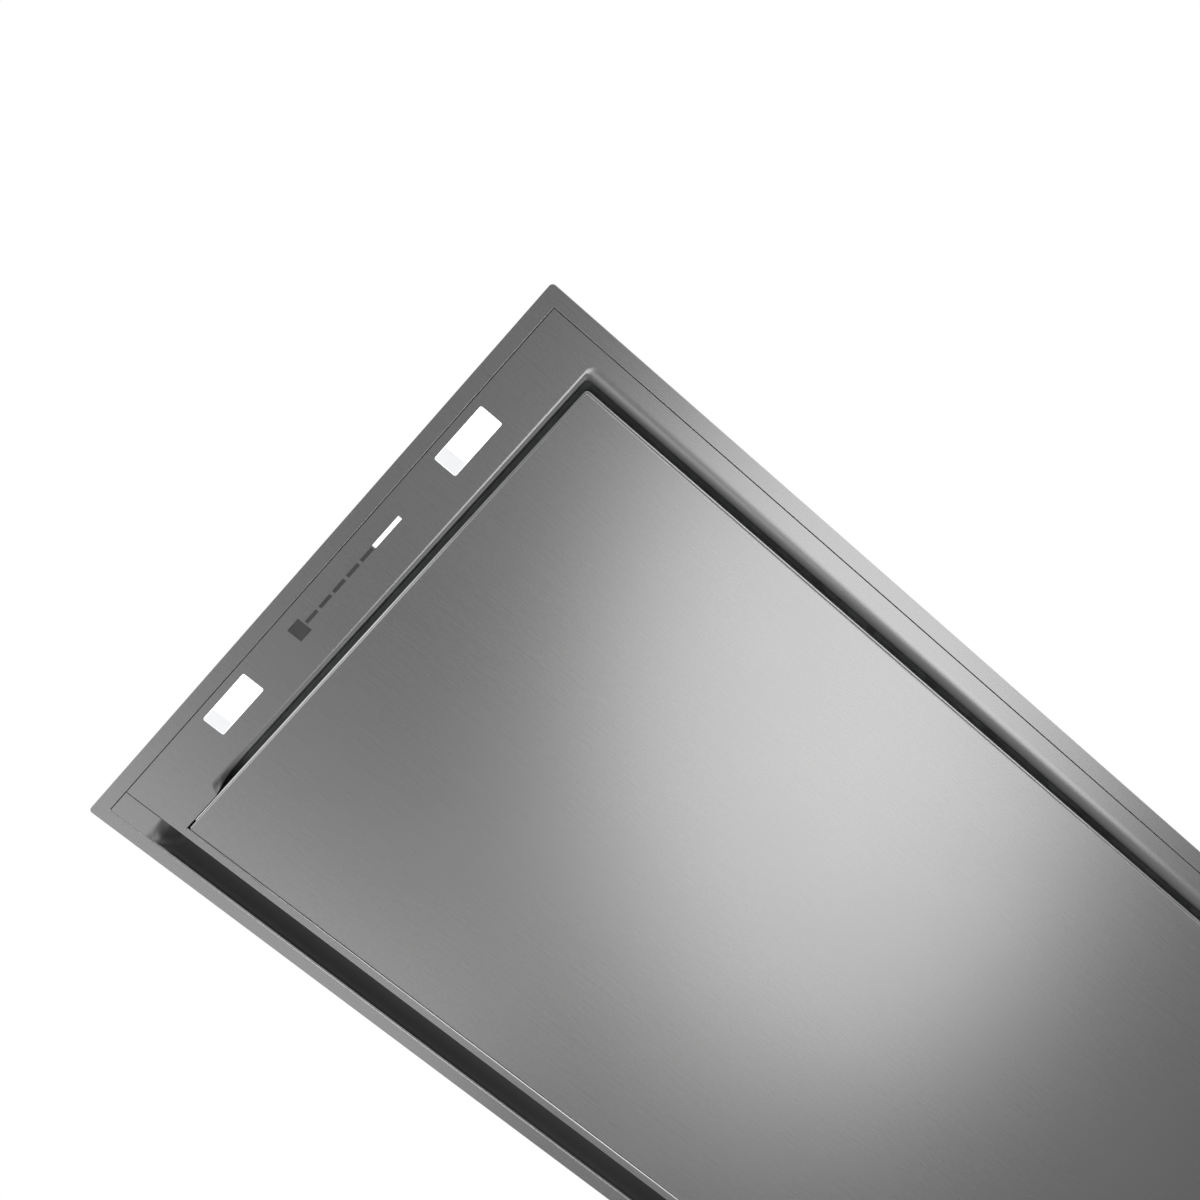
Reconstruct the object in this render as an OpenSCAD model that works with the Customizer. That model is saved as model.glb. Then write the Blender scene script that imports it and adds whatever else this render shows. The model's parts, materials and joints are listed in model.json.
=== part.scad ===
// Ceiling range hood with perimeter suction: a flat face flush with the ceiling, a hinged panel
// with a slot round it, and the filters, plenum, blower and outlet above it.
// The ceiling plane is z = 0, the room is below it, and X runs along the length of the face.

/* [Face] */
// Length of the visible face
face_l = 1200; // [1100:10:1400]
// Width of the visible face
face_w = 700; // [640:10:840]
// Visible width of the outer trim
trim_w = 14.5; // [10:0.5:20]
// Thickness of the trim flange, from the ceiling to the visible face
trim_t = 2; // [1.5:0.1:3]
// Corner radius of the trim flange
trim_corner_r = 4; // [1:0.5:10]
// Thickness of the trim upstand
upstand_t = 1.2; // [0.8:0.1:2]
// Height of the trim upstand above the ceiling plane
upstand_h = 40; // [38:1:50]
// Groove between the trim and the tray
groove_w = 1.2; // [0.6:0.1:2.5]
// Sheet thickness of the tray, the strip and the panel
sheet_t = 1; // [0.7:0.1:1.2]

/* [Tray] */
// Height of the tray walls above the ceiling plane, where the filter carrier rests
tray_h = 30; // [29:0.5:33]
// Flat width of an end cap, from the groove to the bend of its lip
cap_flat = 55.3; // [50:0.1:70]
// Flat width of the border along the near side
near_flat = 13.3; // [8:0.1:20]
// Run of the pressed lip at the ends
end_lip = 7.7; // [5:0.1:12]
// Run of the pressed lip along the near side
near_lip = 16.5; // [8:0.1:22]
// Rise of the curved part of the lip
lip_rise = 14; // [10:0.5:16]
// Straight land above the curved part of the lip
lip_land = 2; // [1:0.5:4]
// Corner radius of the bend line of the lip
bend_corner_r = 9; // [5:0.5:14]
// Corner radius at the foot of the lip
foot_corner_r = 4; // [2:0.5:6]
// Distance from the far edge of the panel to where the lip is full
lip_end = 72; // [60:1:90]
// Length over which the lip fades into the flat cap
lip_fade = 24; // [12:1:30]
// Width of the far strip
strip_w = 26.5; // [22:0.5:34]
// Seam between the strip and the tray
seam_w = 0.8; // [0.3:0.1:1.5]
// Width of the ledge beside the panel along the far side
ledge_w = 7.3; // [6.5:0.1:12]
// Rise of the cove in the far strip
cove_rise = 24; // [16:0.5:26]
// Length over which the cove fades into the flat ends of the strip
cove_fade = 12; // [6:0.5:20]

/* [Panel] */
// Slot between the panel and the tray at the ends
end_gap = 6; // [5:0.1:9]
// Slot between the panel and the tray along the near side
near_gap = 7.3; // [5:0.1:10]
// Joint between the panel and the ledge along the far side
far_gap = 2; // [1.8:0.1:3]
// Height of the folded edges of the panel
panel_h = 16; // [15:0.5:18]
// Corner radius of the panel seen from below
panel_corner_r = 3; // [2:0.5:6]
// Bend radius of the panel edges
panel_bend_r = 1.4; // [1.2:0.1:1.8]
// Width of a stiffener
stiffener_w = 50; // [30:1:80]
// Height of a stiffener
stiffener_h = 12; // [6:0.5:14]
// Width of the flanges of a stiffener
stiffener_flange = 11; // [6:0.5:14]

/* [Hinges] */
// Number of hinges
hinge_count = 3; // [2:1:4]
// Distance between the outer hinges
hinge_span = 800; // [500:10:900]
// Distance of the hinge axis from the far edge and from the visible face of the panel
hinge_inset = 4; // [4:0.1:4.2]
// Radius of a hinge pin
hinge_pin_r = 1.5; // [1:0.1:1.7]
// Running clearance of a hinge pin
hinge_fit = 0.05; // [0.03:0.01:0.1]
// Radius of a hinge knuckle
knuckle_r = 2.7; // [2.5:0.1:2.7]
// Length of the fixed knuckle
knuckle_l = 24; // [16:1:40]
// Length of each knuckle on the panel
ear_l = 11; // [8:1:20]

/* [Filters] */
// Thickness of a grease filter
filter_t = 12; // [10:0.5:13]
// Rim of a filter frame
filter_rim = 11; // [8:0.5:16]
// Wall of a filter frame
filter_wall = 1.2; // [0.8:0.1:2]
// Distance between two filters
filter_between = 10; // [6:1:30]
// Pitch of the folds in the filter mesh
fold_pitch = 6.6; // [5:0.1:12]
// Thickness of the folded mesh
mesh_t = 1; // [0.6:0.1:1.4]
// Thickness of the carrier sheet
carrier_t = 1.2; // [0.8:0.1:2]
// Width of the carrier that overlaps each edge of a filter
filter_seat = 8; // [5:0.5:9]
// Travel of a filter latch
latch_travel = 7; // [5:0.5:8]

/* [Lamps and controls] */
// Length of a lamp window
lamp_l = 65.7; // [40:0.1:90]
// Width of a lamp window
lamp_w = 24.5; // [16:0.1:28]
// Corner radius of a lamp window
lamp_r = 2; // [0.5:0.1:4]
// Distance from the groove to a lamp window
lamp_edge = 8.4; // [6:0.1:12]
// Distance between the two lamps of a cap
lamp_pitch = 351.7; // [300:0.1:400]
// Offset of the lamps and the controls from the middle of the width
lamp_shift = -17.3; // [-30:0.1:10]
// Length of the lit bar
bar_l = 38.4; // [20:0.1:50]
// Width of the lit bar
bar_w = 4.2; // [2:0.1:6]
// Number of short marks
dash_count = 5; // [3:1:5]
// Length of a short mark
dash_l = 16.8; // [8:0.1:18]
// Width of a short mark
dash_w = 3.5; // [2:0.1:6]
// Distance between the starts of two short marks
dash_pitch = 20.8; // [19:0.1:24]
// Side of the square touch key
key_s = 16.5; // [8:0.1:18]
// Distance from the row of short marks to the bar and to the key
mark_gap = 2; // [1.5:0.1:5]

/* [Casing] */
// Height of the plenum above the ceiling plane
casing_h = 110; // [90:1:150]
// Distance from the upstand of the trim to the plenum walls
plenum_in = 13.5; // [12:0.5:40]
// Sheet thickness of the plenum and the blower box
casing_t = 1; // [0.8:0.1:1.5]
// Height of the blower box above the plenum
box_h = 178; // [174:1:200]
// Height of the stiffening beads on the deck
bead_h = 3; // [1:0.5:5]
// Width of a stiffening bead
bead_w = 14; // [8:1:20]
// Radius of the hole in a hanger for its threaded rod
hanger_hole_r = 4.5; // [3:0.1:5.5]
// Height of a hanger above the deck
hanger_h = 40; // [25:1:60]

/* [Blower] */
// Radius of the blower wheel
wheel_r = 110; // [100:1:114]
// Height of the blower wheel
wheel_h = 102; // [96:1:104]
// Number of blades
blade_count = 40; // [24:1:48]
// Radial depth of a blade
blade_depth = 20; // [14:0.5:24]
// Thickness of a blade
blade_t = 1; // [0.7:0.1:1.4]
// Gap between the wheel and the tongue of the scroll
tongue_gap = 12; // [8:0.5:16]
// Wall of the scroll
scroll_wall = 2; // [1.2:0.1:3]
// Height of the scroll
scroll_h = 128; // [124:1:132]
// Radius of the motor body
motor_r = 48; // [40:1:50]
// Radius of the motor shaft
shaft_r = 4; // [3:0.1:5]

/* [Outlet] */
// Outer radius of the duct spigot
spigot_r = 74.5; // [60:0.5:78]
// Wall of the duct spigot
spigot_wall = 1.5; // [1:0.1:3]
// Length of the duct spigot
spigot_l = 60; // [50:1:80]
// Side of the square flange of the spigot
spigot_flange = 170; // [166:1:172]
// Thickness of a damper flap
flap_t = 1.2; // [0.8:0.1:1.6]

/* [Hidden] */
// Depth by which a cut runs past the face it opens
overrun = 1;
// Gap left between pieces that only lie close to each other
near_fit = 0.3;
// Depth by which joined forms sink into each other
weld = 0.4;
// Facets of small and large round forms
small_fn = 24;
round_fn = 32;
wide_fn = 96;

// Levels
face_z = -trim_t;
skin_z = face_z + sheet_t;
panel_top = face_z + panel_h;
filter_z = tray_h - filter_t;
carrier_top = tray_h + carrier_t;
deck_z = casing_h - casing_t;
box_top = casing_h + box_h;

// Outlines of the trim and the tray
throat_l = face_l - 2 * trim_w;
throat_w = face_w - 2 * trim_w;
throat_r = upstand_t;
upstand_l = throat_l + 2 * upstand_t;
upstand_w = throat_w + 2 * upstand_t;
tray_x = throat_l / 2 - groove_w;
tray_y = throat_w / 2 - groove_w;
tray_far = tray_y - strip_w - seam_w;
bend_x = tray_x - cap_flat;
foot_x = bend_x - end_lip;
bend_y = -tray_y + near_flat;
foot_y = bend_y + near_lip;
ledge_y = tray_far - ledge_w;

// Outline of the panel
panel_x = foot_x - end_gap;
panel_near = foot_y + near_gap;
panel_far = ledge_y - far_gap;
panel_l = 2 * panel_x;
panel_w = panel_far - panel_near;
panel_mid = (panel_far + panel_near) / 2;

// Where the lip fades out near the far corners
tight_x = panel_x + far_gap;
tight_run = 1.6;
full_y = panel_far - lip_end;
fade_y = full_y + lip_fade;
fade_steps = 8;
// Share of the fade over which the bend line moves out to its full run
fade_turn_share = 0.4;
corner_steps = 6;
lip_steps = 8;
least_share = 0.05;

// Hinge axis
hinge_y = panel_far - hinge_inset;
hinge_z = face_z + hinge_inset;
hinge_xs = [for (i = [0:hinge_count - 1]) hinge_span * (i / (hinge_count - 1) - 1 / 2)];
knuckle_gap = 0.3;
notch_l = knuckle_l + 2 * (ear_l + knuckle_gap) + 4 * knuckle_gap;
arm_t = 2.4;
arm_clear = 1.6;
arm_z = hinge_z + sqrt(2) * hinge_inset + arm_clear;
leaf_t = 1.5;
leaf_w = 24;
hinge_pin_l = knuckle_l + 2 * (ear_l + knuckle_gap);

// Filters
filter_count = 3;
filter_side = 16.3;
filter_near = 39;
filter_far = 35;
filter_zone = 2 * (foot_x - filter_side);
filter_l = (filter_zone - (filter_count - 1) * filter_between) / filter_count;
filter_y0 = foot_y + filter_near;
filter_y1 = ledge_y - filter_far;
filter_w = filter_y1 - filter_y0;
filter_mid = (filter_y0 + filter_y1) / 2;
filter_pitch = filter_l + filter_between;
filter_xs = [for (i = [0:filter_count - 1]) (i - (filter_count - 1) / 2) * filter_pitch];
rail_t = 1;
rail_lip = 6;
rim_h = 8;

// Filter latches
latch_l = 44;
latch_w = 24;
latch_t = 2.7;
latch_z = filter_z - near_fit - latch_t;
tongue_l = 30;
latch_over = 2;
tongue_out = latch_travel - latch_over;
grip_l = 24;
grip_w = 7;
grip_off = 4;
latch_in = 1;
guide_w = 4;
guide_lip = 1.2;
guide_z = latch_z - near_fit - guide_lip;

// Catches of the panel
catch_x = 350;
catch_l = 40;
catch_w = 14;
catch_off = 5.2;
keeper_l = 46;
keeper_reach = 20;
keeper_z = panel_top - near_fit - sheet_t;
keeper_low = face_z + panel_bend_r;

// Lamps
lamp_x = tray_x - lamp_edge - lamp_w / 2;
lamp_ys = [lamp_shift - lamp_pitch / 2, lamp_shift + lamp_pitch / 2];
lens_fit = 0.2;
lens_recess = 0.6;
lens_flange = 2.2;
lens_t = 1.6;
housing_wall = 1.4;
housing_h = 15;
fin_t = 1.2;
fin_h = 6;
fin_count = 9;
led_board_t = 1.6;
led_s = 3.5;
led_t = 0.8;
led_count = 6;

// Controls
dash_row = (dash_count - 1) * dash_pitch + dash_l;
row_l = bar_l + dash_row + key_s + 2 * mark_gap;
row_y = lamp_shift - row_l / 2;
bar_y = row_y + bar_l / 2;
dash_y = row_y + bar_l + mark_gap + dash_l / 2;
key_y = row_y + row_l - key_s / 2;
dash_ys = [for (i = [0:dash_count - 1]) dash_y + i * dash_pitch];
guide_fit = 0.15;
guide_h = 6;
holder_rim = 5;
holder_l = row_l + 2 * holder_rim;
holder_w = 26;
board_t = 1.6;
chip_h = 2;
chip_s = 6;

// Casing
casing_l = throat_l - 2 * plenum_in;
casing_w = throat_w - 2 * plenum_in;
plenum_foot_w = 10;
casing_r = 2;
bead_l = 360;
bead_y = 50;
bead_shares = [0.254, 0.341, 0.428];
bead_xs = bead_shares * casing_l;
screw_r = 2;
screw_head_r = 4;
screw_head_h = 2.4;
screw_l = 5;
screw_fit = 0.05;
rivet_r = 1.6;
rivet_head_r = 3.2;
rivet_head_h = 1;
rivet_tail_r = 2.2;
rivet_tail_h = 1.2;
rivet_z = carrier_top + rim_h / 2;
rivet_share = 0.2;

// Scroll: a spiral that widens from the tongue to the outlet
tongue_angle = 70;
tongue_r = wheel_r + tongue_gap;
growth_share = 0.0875;
scroll_steps = 40;
function scroll_r(a) = tongue_r * exp(growth_share * (a - tongue_angle) * PI / 180);
function polar(r, a) = [r * cos(a), r * sin(a)];
tongue_x = tongue_r * cos(tongue_angle);
reach = scroll_r(360);
wall_x = tongue_x - scroll_wall;
wall_angle = acos(wall_x / (tongue_r + scroll_wall));
scroll_clear = 8;
neck_l = 30;
cone_l = 40;
neck_y = scroll_r(90) + neck_l;
box_side = 20;
box_l = scroll_r(180) + reach + 2 * (scroll_wall + box_side + scroll_clear);
box_w = scroll_r(270) + scroll_wall + scroll_clear + neck_y + cone_l + 2 * casing_t;
axis_x = -(reach - scroll_r(180)) / 2;
axis_y = -box_w / 2 + casing_t + scroll_clear + scroll_wall + scroll_r(270);
foot_w = 14;
scroll_lift = 20;
scroll_z = casing_h + scroll_lift;
scroll_top = scroll_z + scroll_h;
inlet_gap = 2;
inlet_r = wheel_r - blade_depth - inlet_gap;
inlet_run = 16;
inlet_rise = 28;
inlet_t = 1.2;
inlet_steps = 8;

// Wheel and motor
wheel_lift = 8;
wheel_z = scroll_z + wheel_lift;
wheel_top = wheel_z + wheel_h;
ring_t = 2;
dish_gap = 8;
dish_r = motor_r + dish_gap;
dish_depth = 40;
dish_z = wheel_top - dish_depth;
hub_r = 13;
hub_h = 14;
motor_lift = 4;
motor_z = dish_z + ring_t + motor_lift;
motor_cap_h = 17;
cap_fin_rise = 4;
hole_gap = 2;
motor_hole_r = dish_r + hole_gap;
bracket_t = 2;
grommet_r = 7;
grommet_h = 4;
motor_low_h = scroll_top + grommet_h - motor_z;
grommet_off = 13;
grommet_at = motor_hole_r + grommet_off;
bracket_rim = 6;
boss_rim = 3;
arm_w = 18;
bearing_r = 11;
bearing_h = 7;

// Outlet
spigot_x = axis_x + (tongue_x + reach) / 2;
spigot_z = casing_h + box_h / 2;
spigot_y = box_w / 2;
spigot_plate_t = 2;
bore_r = spigot_r - spigot_wall;
flap_in = 12;
flap_y = spigot_y + flap_in;
flap_clear = 0.8;
flap_r = bore_r - flap_clear;
stop_w = 5;
stop_t = 2;
hinge_rod_r = 2;
flap_knuckle_r = 4;
flap_start = 4.6;
flap_knuckle_l = 26;

// Electrics on the deck
elec_in = 182;
elec_x = elec_in - casing_l / 2;
elec_near = 107;
elec_y = elec_near - casing_w / 2;
elec_l = 150;
elec_w = 110;
elec_h = 46;
elec_wall = 1.5;
gland_r = 4.25;
gland_z = 24;
gland_thread_r = 8;
gland_flange_r = 12;
gland_l = 22;

// Hangers
hanger_in = 46.3;
hanger_x = casing_l / 2 - hanger_in;
hanger_y = casing_w / 2 - hanger_in;
hanger_w = 46;
hanger_d = 40;
hanger_t = 2.5;

steel = [0.62, 0.62, 0.61];
zinc = [0.72, 0.74, 0.76];
dark = [0.12, 0.12, 0.13];
alu = [0.8, 0.81, 0.82];
white = [0.95, 0.96, 1];

// A rectangle with round corners, centred
module round_rect(l, w, r) {
    square([l - 2 * r, w], center = true);
    square([l, w - 2 * r], center = true);
    for (x = [-1, 1], y = [-1, 1])
        translate([x * (l / 2 - r), y * (w / 2 - r)]) circle(r, $fn = round_fn);
}

// A plate with round corners that starts at height z
module plate(l, w, r, z, h) {
    translate([0, 0, z]) linear_extrude(h) round_rect(l, w, r);
}

// A straight profile in Y and Z, run along X and centred there
module along_x(l) {
    rotate([90, 0, 90]) linear_extrude(l, center = true) children();
}

// A block given by its lowest and highest corners
module block(a, b) {
    translate(a) cube(b - a);
}

// A point mirrored across the YZ plane, a soft step from 0 to 1, and a value between two others
function mirror_x(p) = [-p[0], p[1]];
function smooth(s) = s * s * (3 - 2 * s);
function blend(a, b, s) = a + (b - a) * s;

// Faces of a tube of m rings with n points each, closed at both ends by the faces of a cap
function tube_faces(m, n, cap) = concat(
    cap,
    [for (i = [0:m - 2], j = [0:n - 1]) [i * n + j, (i + 1) * n + j, (i + 1) * n + (j + 1) % n]],
    [for (i = [0:m - 2], j = [0:n - 1]) [i * n + j, (i + 1) * n + (j + 1) % n, i * n + (j + 1) % n]],
    [for (f = cap) [for (j = [len(f) - 1:-1:0]) (m - 1) * n + f[j]]]
);

// Stations of the lip: point on the bend line, point on the foot line, and share of the full rise
function fade_station(s) = [
    [-blend(tight_x + tight_run, bend_x, smooth(min(1, s / fade_turn_share))), blend(fade_y, full_y, s)],
    [-blend(tight_x + weld, foot_x, smooth(s)), blend(fade_y, full_y, s)],
    blend(least_share, 1, smooth(s))
];
function corner_point(x, y, r, a) = [-x + r - r * cos(a), y + r - r * sin(a)];
function corner_station(a) = [
    corner_point(bend_x, bend_y, bend_corner_r, a),
    corner_point(foot_x, foot_y, foot_corner_r, a),
    1
];
half_stations = concat(
    [for (i = [0:fade_steps]) fade_station(i / fade_steps)],
    [for (i = [0:corner_steps]) corner_station(90 * i / corner_steps)]
);
half_count = len(half_stations);
lip_stations = concat(
    half_stations,
    [for (i = [half_count - 1:-1:0])
        let (s = half_stations[i]) [mirror_x(s[0]), mirror_x(s[1]), s[2]]]
);

// Section of the lip at one station: out along the visible side, back along the hidden side
function lip_section(s) = let (
    d = (s[1] - s[0]) / norm(s[1] - s[0]),
    rise = lip_rise * s[2],
    land = lip_land * s[2],
    run = s[1] - s[0],
    low = [for (i = [0:lip_steps])
        let (a = 90 * i / lip_steps)
        [s[0][0] + run[0] * sin(a), s[0][1] + run[1] * sin(a), face_z + rise * (1 - cos(a))]],
    high = [for (i = [0:lip_steps])
        let (a = 90 * i / lip_steps)
        [low[i][0] - d[0] * sheet_t * sin(a), low[i][1] - d[1] * sheet_t * sin(a),
            low[i][2] + sheet_t * cos(a)]],
    first = s[0] - d * weld,
    last = low[lip_steps],
    back = high[lip_steps],
    top = face_z + rise + land + sheet_t * least_share
) concat(
    [[first[0], first[1], face_z]],
    low,
    [[last[0], last[1], top], [back[0], back[1], top]],
    [for (i = [lip_steps:-1:0]) high[i]],
    [[first[0], first[1], skin_z]]
);
lip_n = 2 * lip_steps + 6;
lip_cap = [[for (j = [0:lip_n - 1]) j]];

// Hole in the flat of the tray, along the bend line of the lip and the edge of the ledge
tray_hole = concat(
    [[-tight_x, ledge_y], [-tight_x, fade_y - tight_run]],
    [for (i = [1:len(lip_stations) - 2]) lip_stations[i][0]],
    [[tight_x, fade_y - tight_run], [tight_x, ledge_y]]
);

// Places of the rivets that join the upstand of the trim and the rim of the carrier
rivet_depth = upstand_t + carrier_t;
module at_rivets() {
    for (i = [-2:2], s = [-1, 1])
        translate([i * rivet_share * upstand_l, s * upstand_w / 2, rivet_z])
            rotate([-90 * s, 0, 0]) children();
    for (i = [-1:1], s = [-1, 1])
        translate([s * upstand_l / 2, i * short_share * upstand_w, rivet_z])
            rotate([0, 90 * s, 0]) children();
}
module rivet_holes() {
    at_rivets() translate([0, 0, -rivet_depth - overrun])
        cylinder(r = rivet_r + screw_fit, h = rivet_depth + 2 * overrun, $fn = small_fn);
}

// Outlines shared by the windows and by what fills them
module lamp_outline(grow) {
    for (x = [-lamp_x, lamp_x], y = lamp_ys)
        translate([x, y]) round_rect(lamp_w + 2 * grow, lamp_l + 2 * grow, lamp_r + max(grow, 0));
}
module bar_outline(grow) {
    translate([-lamp_x, bar_y]) square([bar_w + 2 * grow, bar_l + 2 * grow], center = true);
}
module dash_outline(grow) {
    for (y = dash_ys)
        translate([-lamp_x, y]) square([dash_w + 2 * grow, dash_l + 2 * grow], center = true);
}
module key_outline(grow) {
    translate([-lamp_x, key_y]) square([key_s + 2 * grow, key_s + 2 * grow], center = true);
}

module trim_frame() {
    color(steel) difference() {
        union() {
            plate(face_l, face_w, trim_corner_r, face_z, trim_t);
            plate(upstand_l, upstand_w, throat_r + upstand_t, face_z, trim_t + upstand_h);
        }
        plate(throat_l, throat_w, throat_r, face_z - overrun, trim_t + upstand_h + 2 * overrun);
        rivet_holes();
    }
}

// The pressed tray: end caps, near border and far ledge in one sheet
module face_tray() {
    color(steel) {
        translate([0, 0, face_z]) linear_extrude(sheet_t) difference() {
            translate([-tray_x, -tray_y]) square([2 * tray_x, tray_y + tray_far]);
            polygon(tray_hole);
            lamp_outline(0);
            bar_outline(0);
            dash_outline(0);
            key_outline(0);
        }
        difference() {
            block([-tray_x, -tray_y, face_z], [tray_x, tray_far, tray_h]);
            block([sheet_t - tray_x, sheet_t - tray_y, face_z - overrun],
                [tray_x - sheet_t, tray_far + overrun, tray_h + overrun]);
        }
        block([-tray_x, tray_far - sheet_t, face_z], [tray_x, tray_far, panel_top]);
        polyhedron(
            [for (s = lip_stations) each lip_section(s)],
            tube_faces(len(lip_stations), lip_n, lip_cap),
            convexity = 8
        );
    }
}

// Section of the far strip where the cove has risen by the share f: the visible side, the hidden
// side back to the wall, and the wall up to the carrier
cove_steps = 8;
// How the cove bows: 1 is a plain slope, and less is steeper beside the wall
cove_bow_share = 0.7;
strip_near = tray_y - strip_w;
function strip_section(x, f) = let (
    y0 = tray_y - f * sheet_t,
    run = y0 - strip_near,
    low = [for (i = [0:cove_steps])
        let (t = i / cove_steps) [y0 - run * t, face_z + cove_rise * f * pow(t, cove_bow_share)]],
    high = [for (i = [2:cove_steps])
        let (n = [cove_rise * f * cove_bow_share * pow(i / cove_steps, cove_bow_share - 1), run])
        low[i] + n / norm(n) * sheet_t],
    root_z = blend(skin_z, high[0][1], f / 2)
) [for (p = concat(
    low,
    [for (i = [cove_steps - 2:-1:0]) high[i]],
    [[tray_y - sheet_t, root_z], [tray_y - sheet_t, tray_h], [tray_y, tray_h]],
    f > 0 ? [[tray_y, face_z]] : [[tray_y, face_z + weld]]
)) [x, p[0], p[1]]];
strip_n = 2 * cove_steps + 4;
strip_root = 2 * cove_steps;
strip_cap = concat(
    [for (i = [2:cove_steps - 1])
        each [[i, i + 1, strip_root - i], [i, strip_root - i, strip_root + 1 - i]]],
    [[0, 1, strip_root], [1, 2, strip_root], [2, strip_root - 1, strip_root]],
    [[0, strip_root, strip_root + 3], [strip_root, strip_root + 1, strip_root + 2]],
    [[strip_root, strip_root + 2, strip_root + 3]]
);
strip_half = concat(
    [[tray_x, 0]],
    [for (i = [0:fade_steps])
        [bend_x + cove_fade / 4 - cove_fade * i / fade_steps, smooth(i / fade_steps)]]
);
strip_stations = concat(
    strip_half,
    [for (i = [len(strip_half) - 1:-1:0]) mirror_x(strip_half[i])]
);

module far_strip() {
    color(steel) polyhedron(
        [for (s = strip_stations) each strip_section(s[0], s[1])],
        tube_faces(len(strip_stations), strip_n, strip_cap),
        convexity = 6
    );
}

// A shallow pan with rounded lower edges, centred on the panel
module pan(l, w, z, corner_r, bend_r) {
    hull() for (x = [-1, 1], y = [-1, 1])
        translate([x * (l / 2 - corner_r), panel_mid + y * (w / 2 - corner_r), z])
            rotate_extrude($fn = round_fn) polygon(concat(
                [[0, 0]],
                [for (i = [0:3])
                    [corner_r - bend_r + bend_r * sin(30 * i), bend_r - bend_r * cos(30 * i)]],
                [[corner_r, panel_top - z], [0, panel_top - z]]
            ));
}

module panel_skin() {
    color(steel) difference() {
        pan(panel_l, panel_w, face_z, panel_corner_r, panel_bend_r);
        translate([0, 0, sheet_t]) pan(panel_l - 2 * sheet_t, panel_w - 2 * sheet_t, face_z,
            panel_corner_r - sheet_t, panel_bend_r - sheet_t);
        for (x = hinge_xs)
            block([x - notch_l / 2, panel_far - 2 * sheet_t, skin_z + near_fit],
                [x + notch_l / 2, panel_far + overrun, panel_top + overrun]);
    }
}

// Hat sections along the panel
stiffener_share = 0.93;
stiffener_side_share = 0.24;
stiffener_l = stiffener_share * panel_l;
stiffener_ys = [for (s = [-1, 1]) panel_mid + s * stiffener_side_share * panel_w];
module hat_profile(w, h, flange, t) {
    slope = h / 3;
    outer = w / 2 - flange;
    polygon(concat(
        [[-w / 2, 0], [-outer, 0], [-outer + slope, h - t], [outer - slope, h - t]],
        [[outer, 0], [w / 2, 0], [w / 2, t], [outer + t, t], [outer + t - slope, h]],
        [[-outer - t + slope, h], [-outer - t, t], [-w / 2, t]]
    ));
}
module panel_stiffeners() {
    color(zinc) for (y = stiffener_ys)
        translate([0, y, skin_z]) along_x(stiffener_l)
            hat_profile(stiffener_w, stiffener_h, stiffener_flange, sheet_t);
}

// Leaves of the hinges that turn with the panel
ear_at = knuckle_l / 2 + knuckle_gap + ear_l / 2;
leaf_y = hinge_y - knuckle_r - knuckle_gap;
module panel_hinge_leaves() {
    color(zinc) for (x = hinge_xs) translate([x, 0, 0]) {
        along_x(notch_l - 4 * knuckle_gap)
            translate([leaf_y - leaf_w, skin_z]) square([leaf_w, leaf_t]);
        for (s = [-1, 1]) translate([s * ear_at, 0, 0]) along_x(ear_l) difference() {
            union() {
                translate([hinge_y, hinge_z]) circle(knuckle_r, $fn = round_fn);
                polygon([
                    [leaf_y - knuckle_r, skin_z], [hinge_y, skin_z + near_fit],
                    [hinge_y, hinge_z], [hinge_y - knuckle_r, hinge_z],
                    [leaf_y - knuckle_r, skin_z + leaf_t]
                ]);
            }
            translate([hinge_y, hinge_z]) circle(hinge_pin_r + hinge_fit, $fn = round_fn);
        }
    }
}

// Fixed brackets that reach over the far edge of the panel to the hinge axis
module hinge_brackets() {
    color(zinc) for (x = hinge_xs) translate([x, 0, 0]) along_x(knuckle_l) difference() {
        union() {
            translate([tray_far - sheet_t - leaf_t, skin_z]) square([leaf_t, panel_top - skin_z]);
            translate([hinge_y - knuckle_r, arm_z])
                square([tray_far - sheet_t - hinge_y + knuckle_r, arm_t]);
            translate([hinge_y - knuckle_r, hinge_z])
                square([knuckle_r + leaf_t / 2, arm_z - hinge_z + weld]);
            translate([hinge_y, hinge_z]) circle(knuckle_r, $fn = round_fn);
        }
        translate([hinge_y, hinge_z]) circle(hinge_pin_r, $fn = round_fn);
    }
}

module hinge_pins() {
    color(alu) for (x = hinge_xs)
        translate([x, hinge_y, hinge_z]) rotate([0, 90, 0])
            cylinder(r = hinge_pin_r, h = hinge_pin_l, center = true, $fn = round_fn);
}

// Steel tabs on the near edge of the panel, held by the magnets above them
keeper_y = panel_near + sheet_t;
module catch_keepers() {
    color(zinc) for (s = [-1, 1]) translate([s * catch_x, 0, 0]) along_x(keeper_l) {
        translate([keeper_y, keeper_low]) square([sheet_t, keeper_z + sheet_t - keeper_low]);
        translate([keeper_y, keeper_z]) square([keeper_reach, sheet_t]);
    }
}
module catch_magnets() {
    color(dark) for (s = [-1, 1]) translate([s * catch_x, 0, 0])
        block([-catch_l / 2, panel_near + catch_off, panel_top],
            [catch_l / 2, panel_near + catch_off + catch_w, tray_h]);
}

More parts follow.
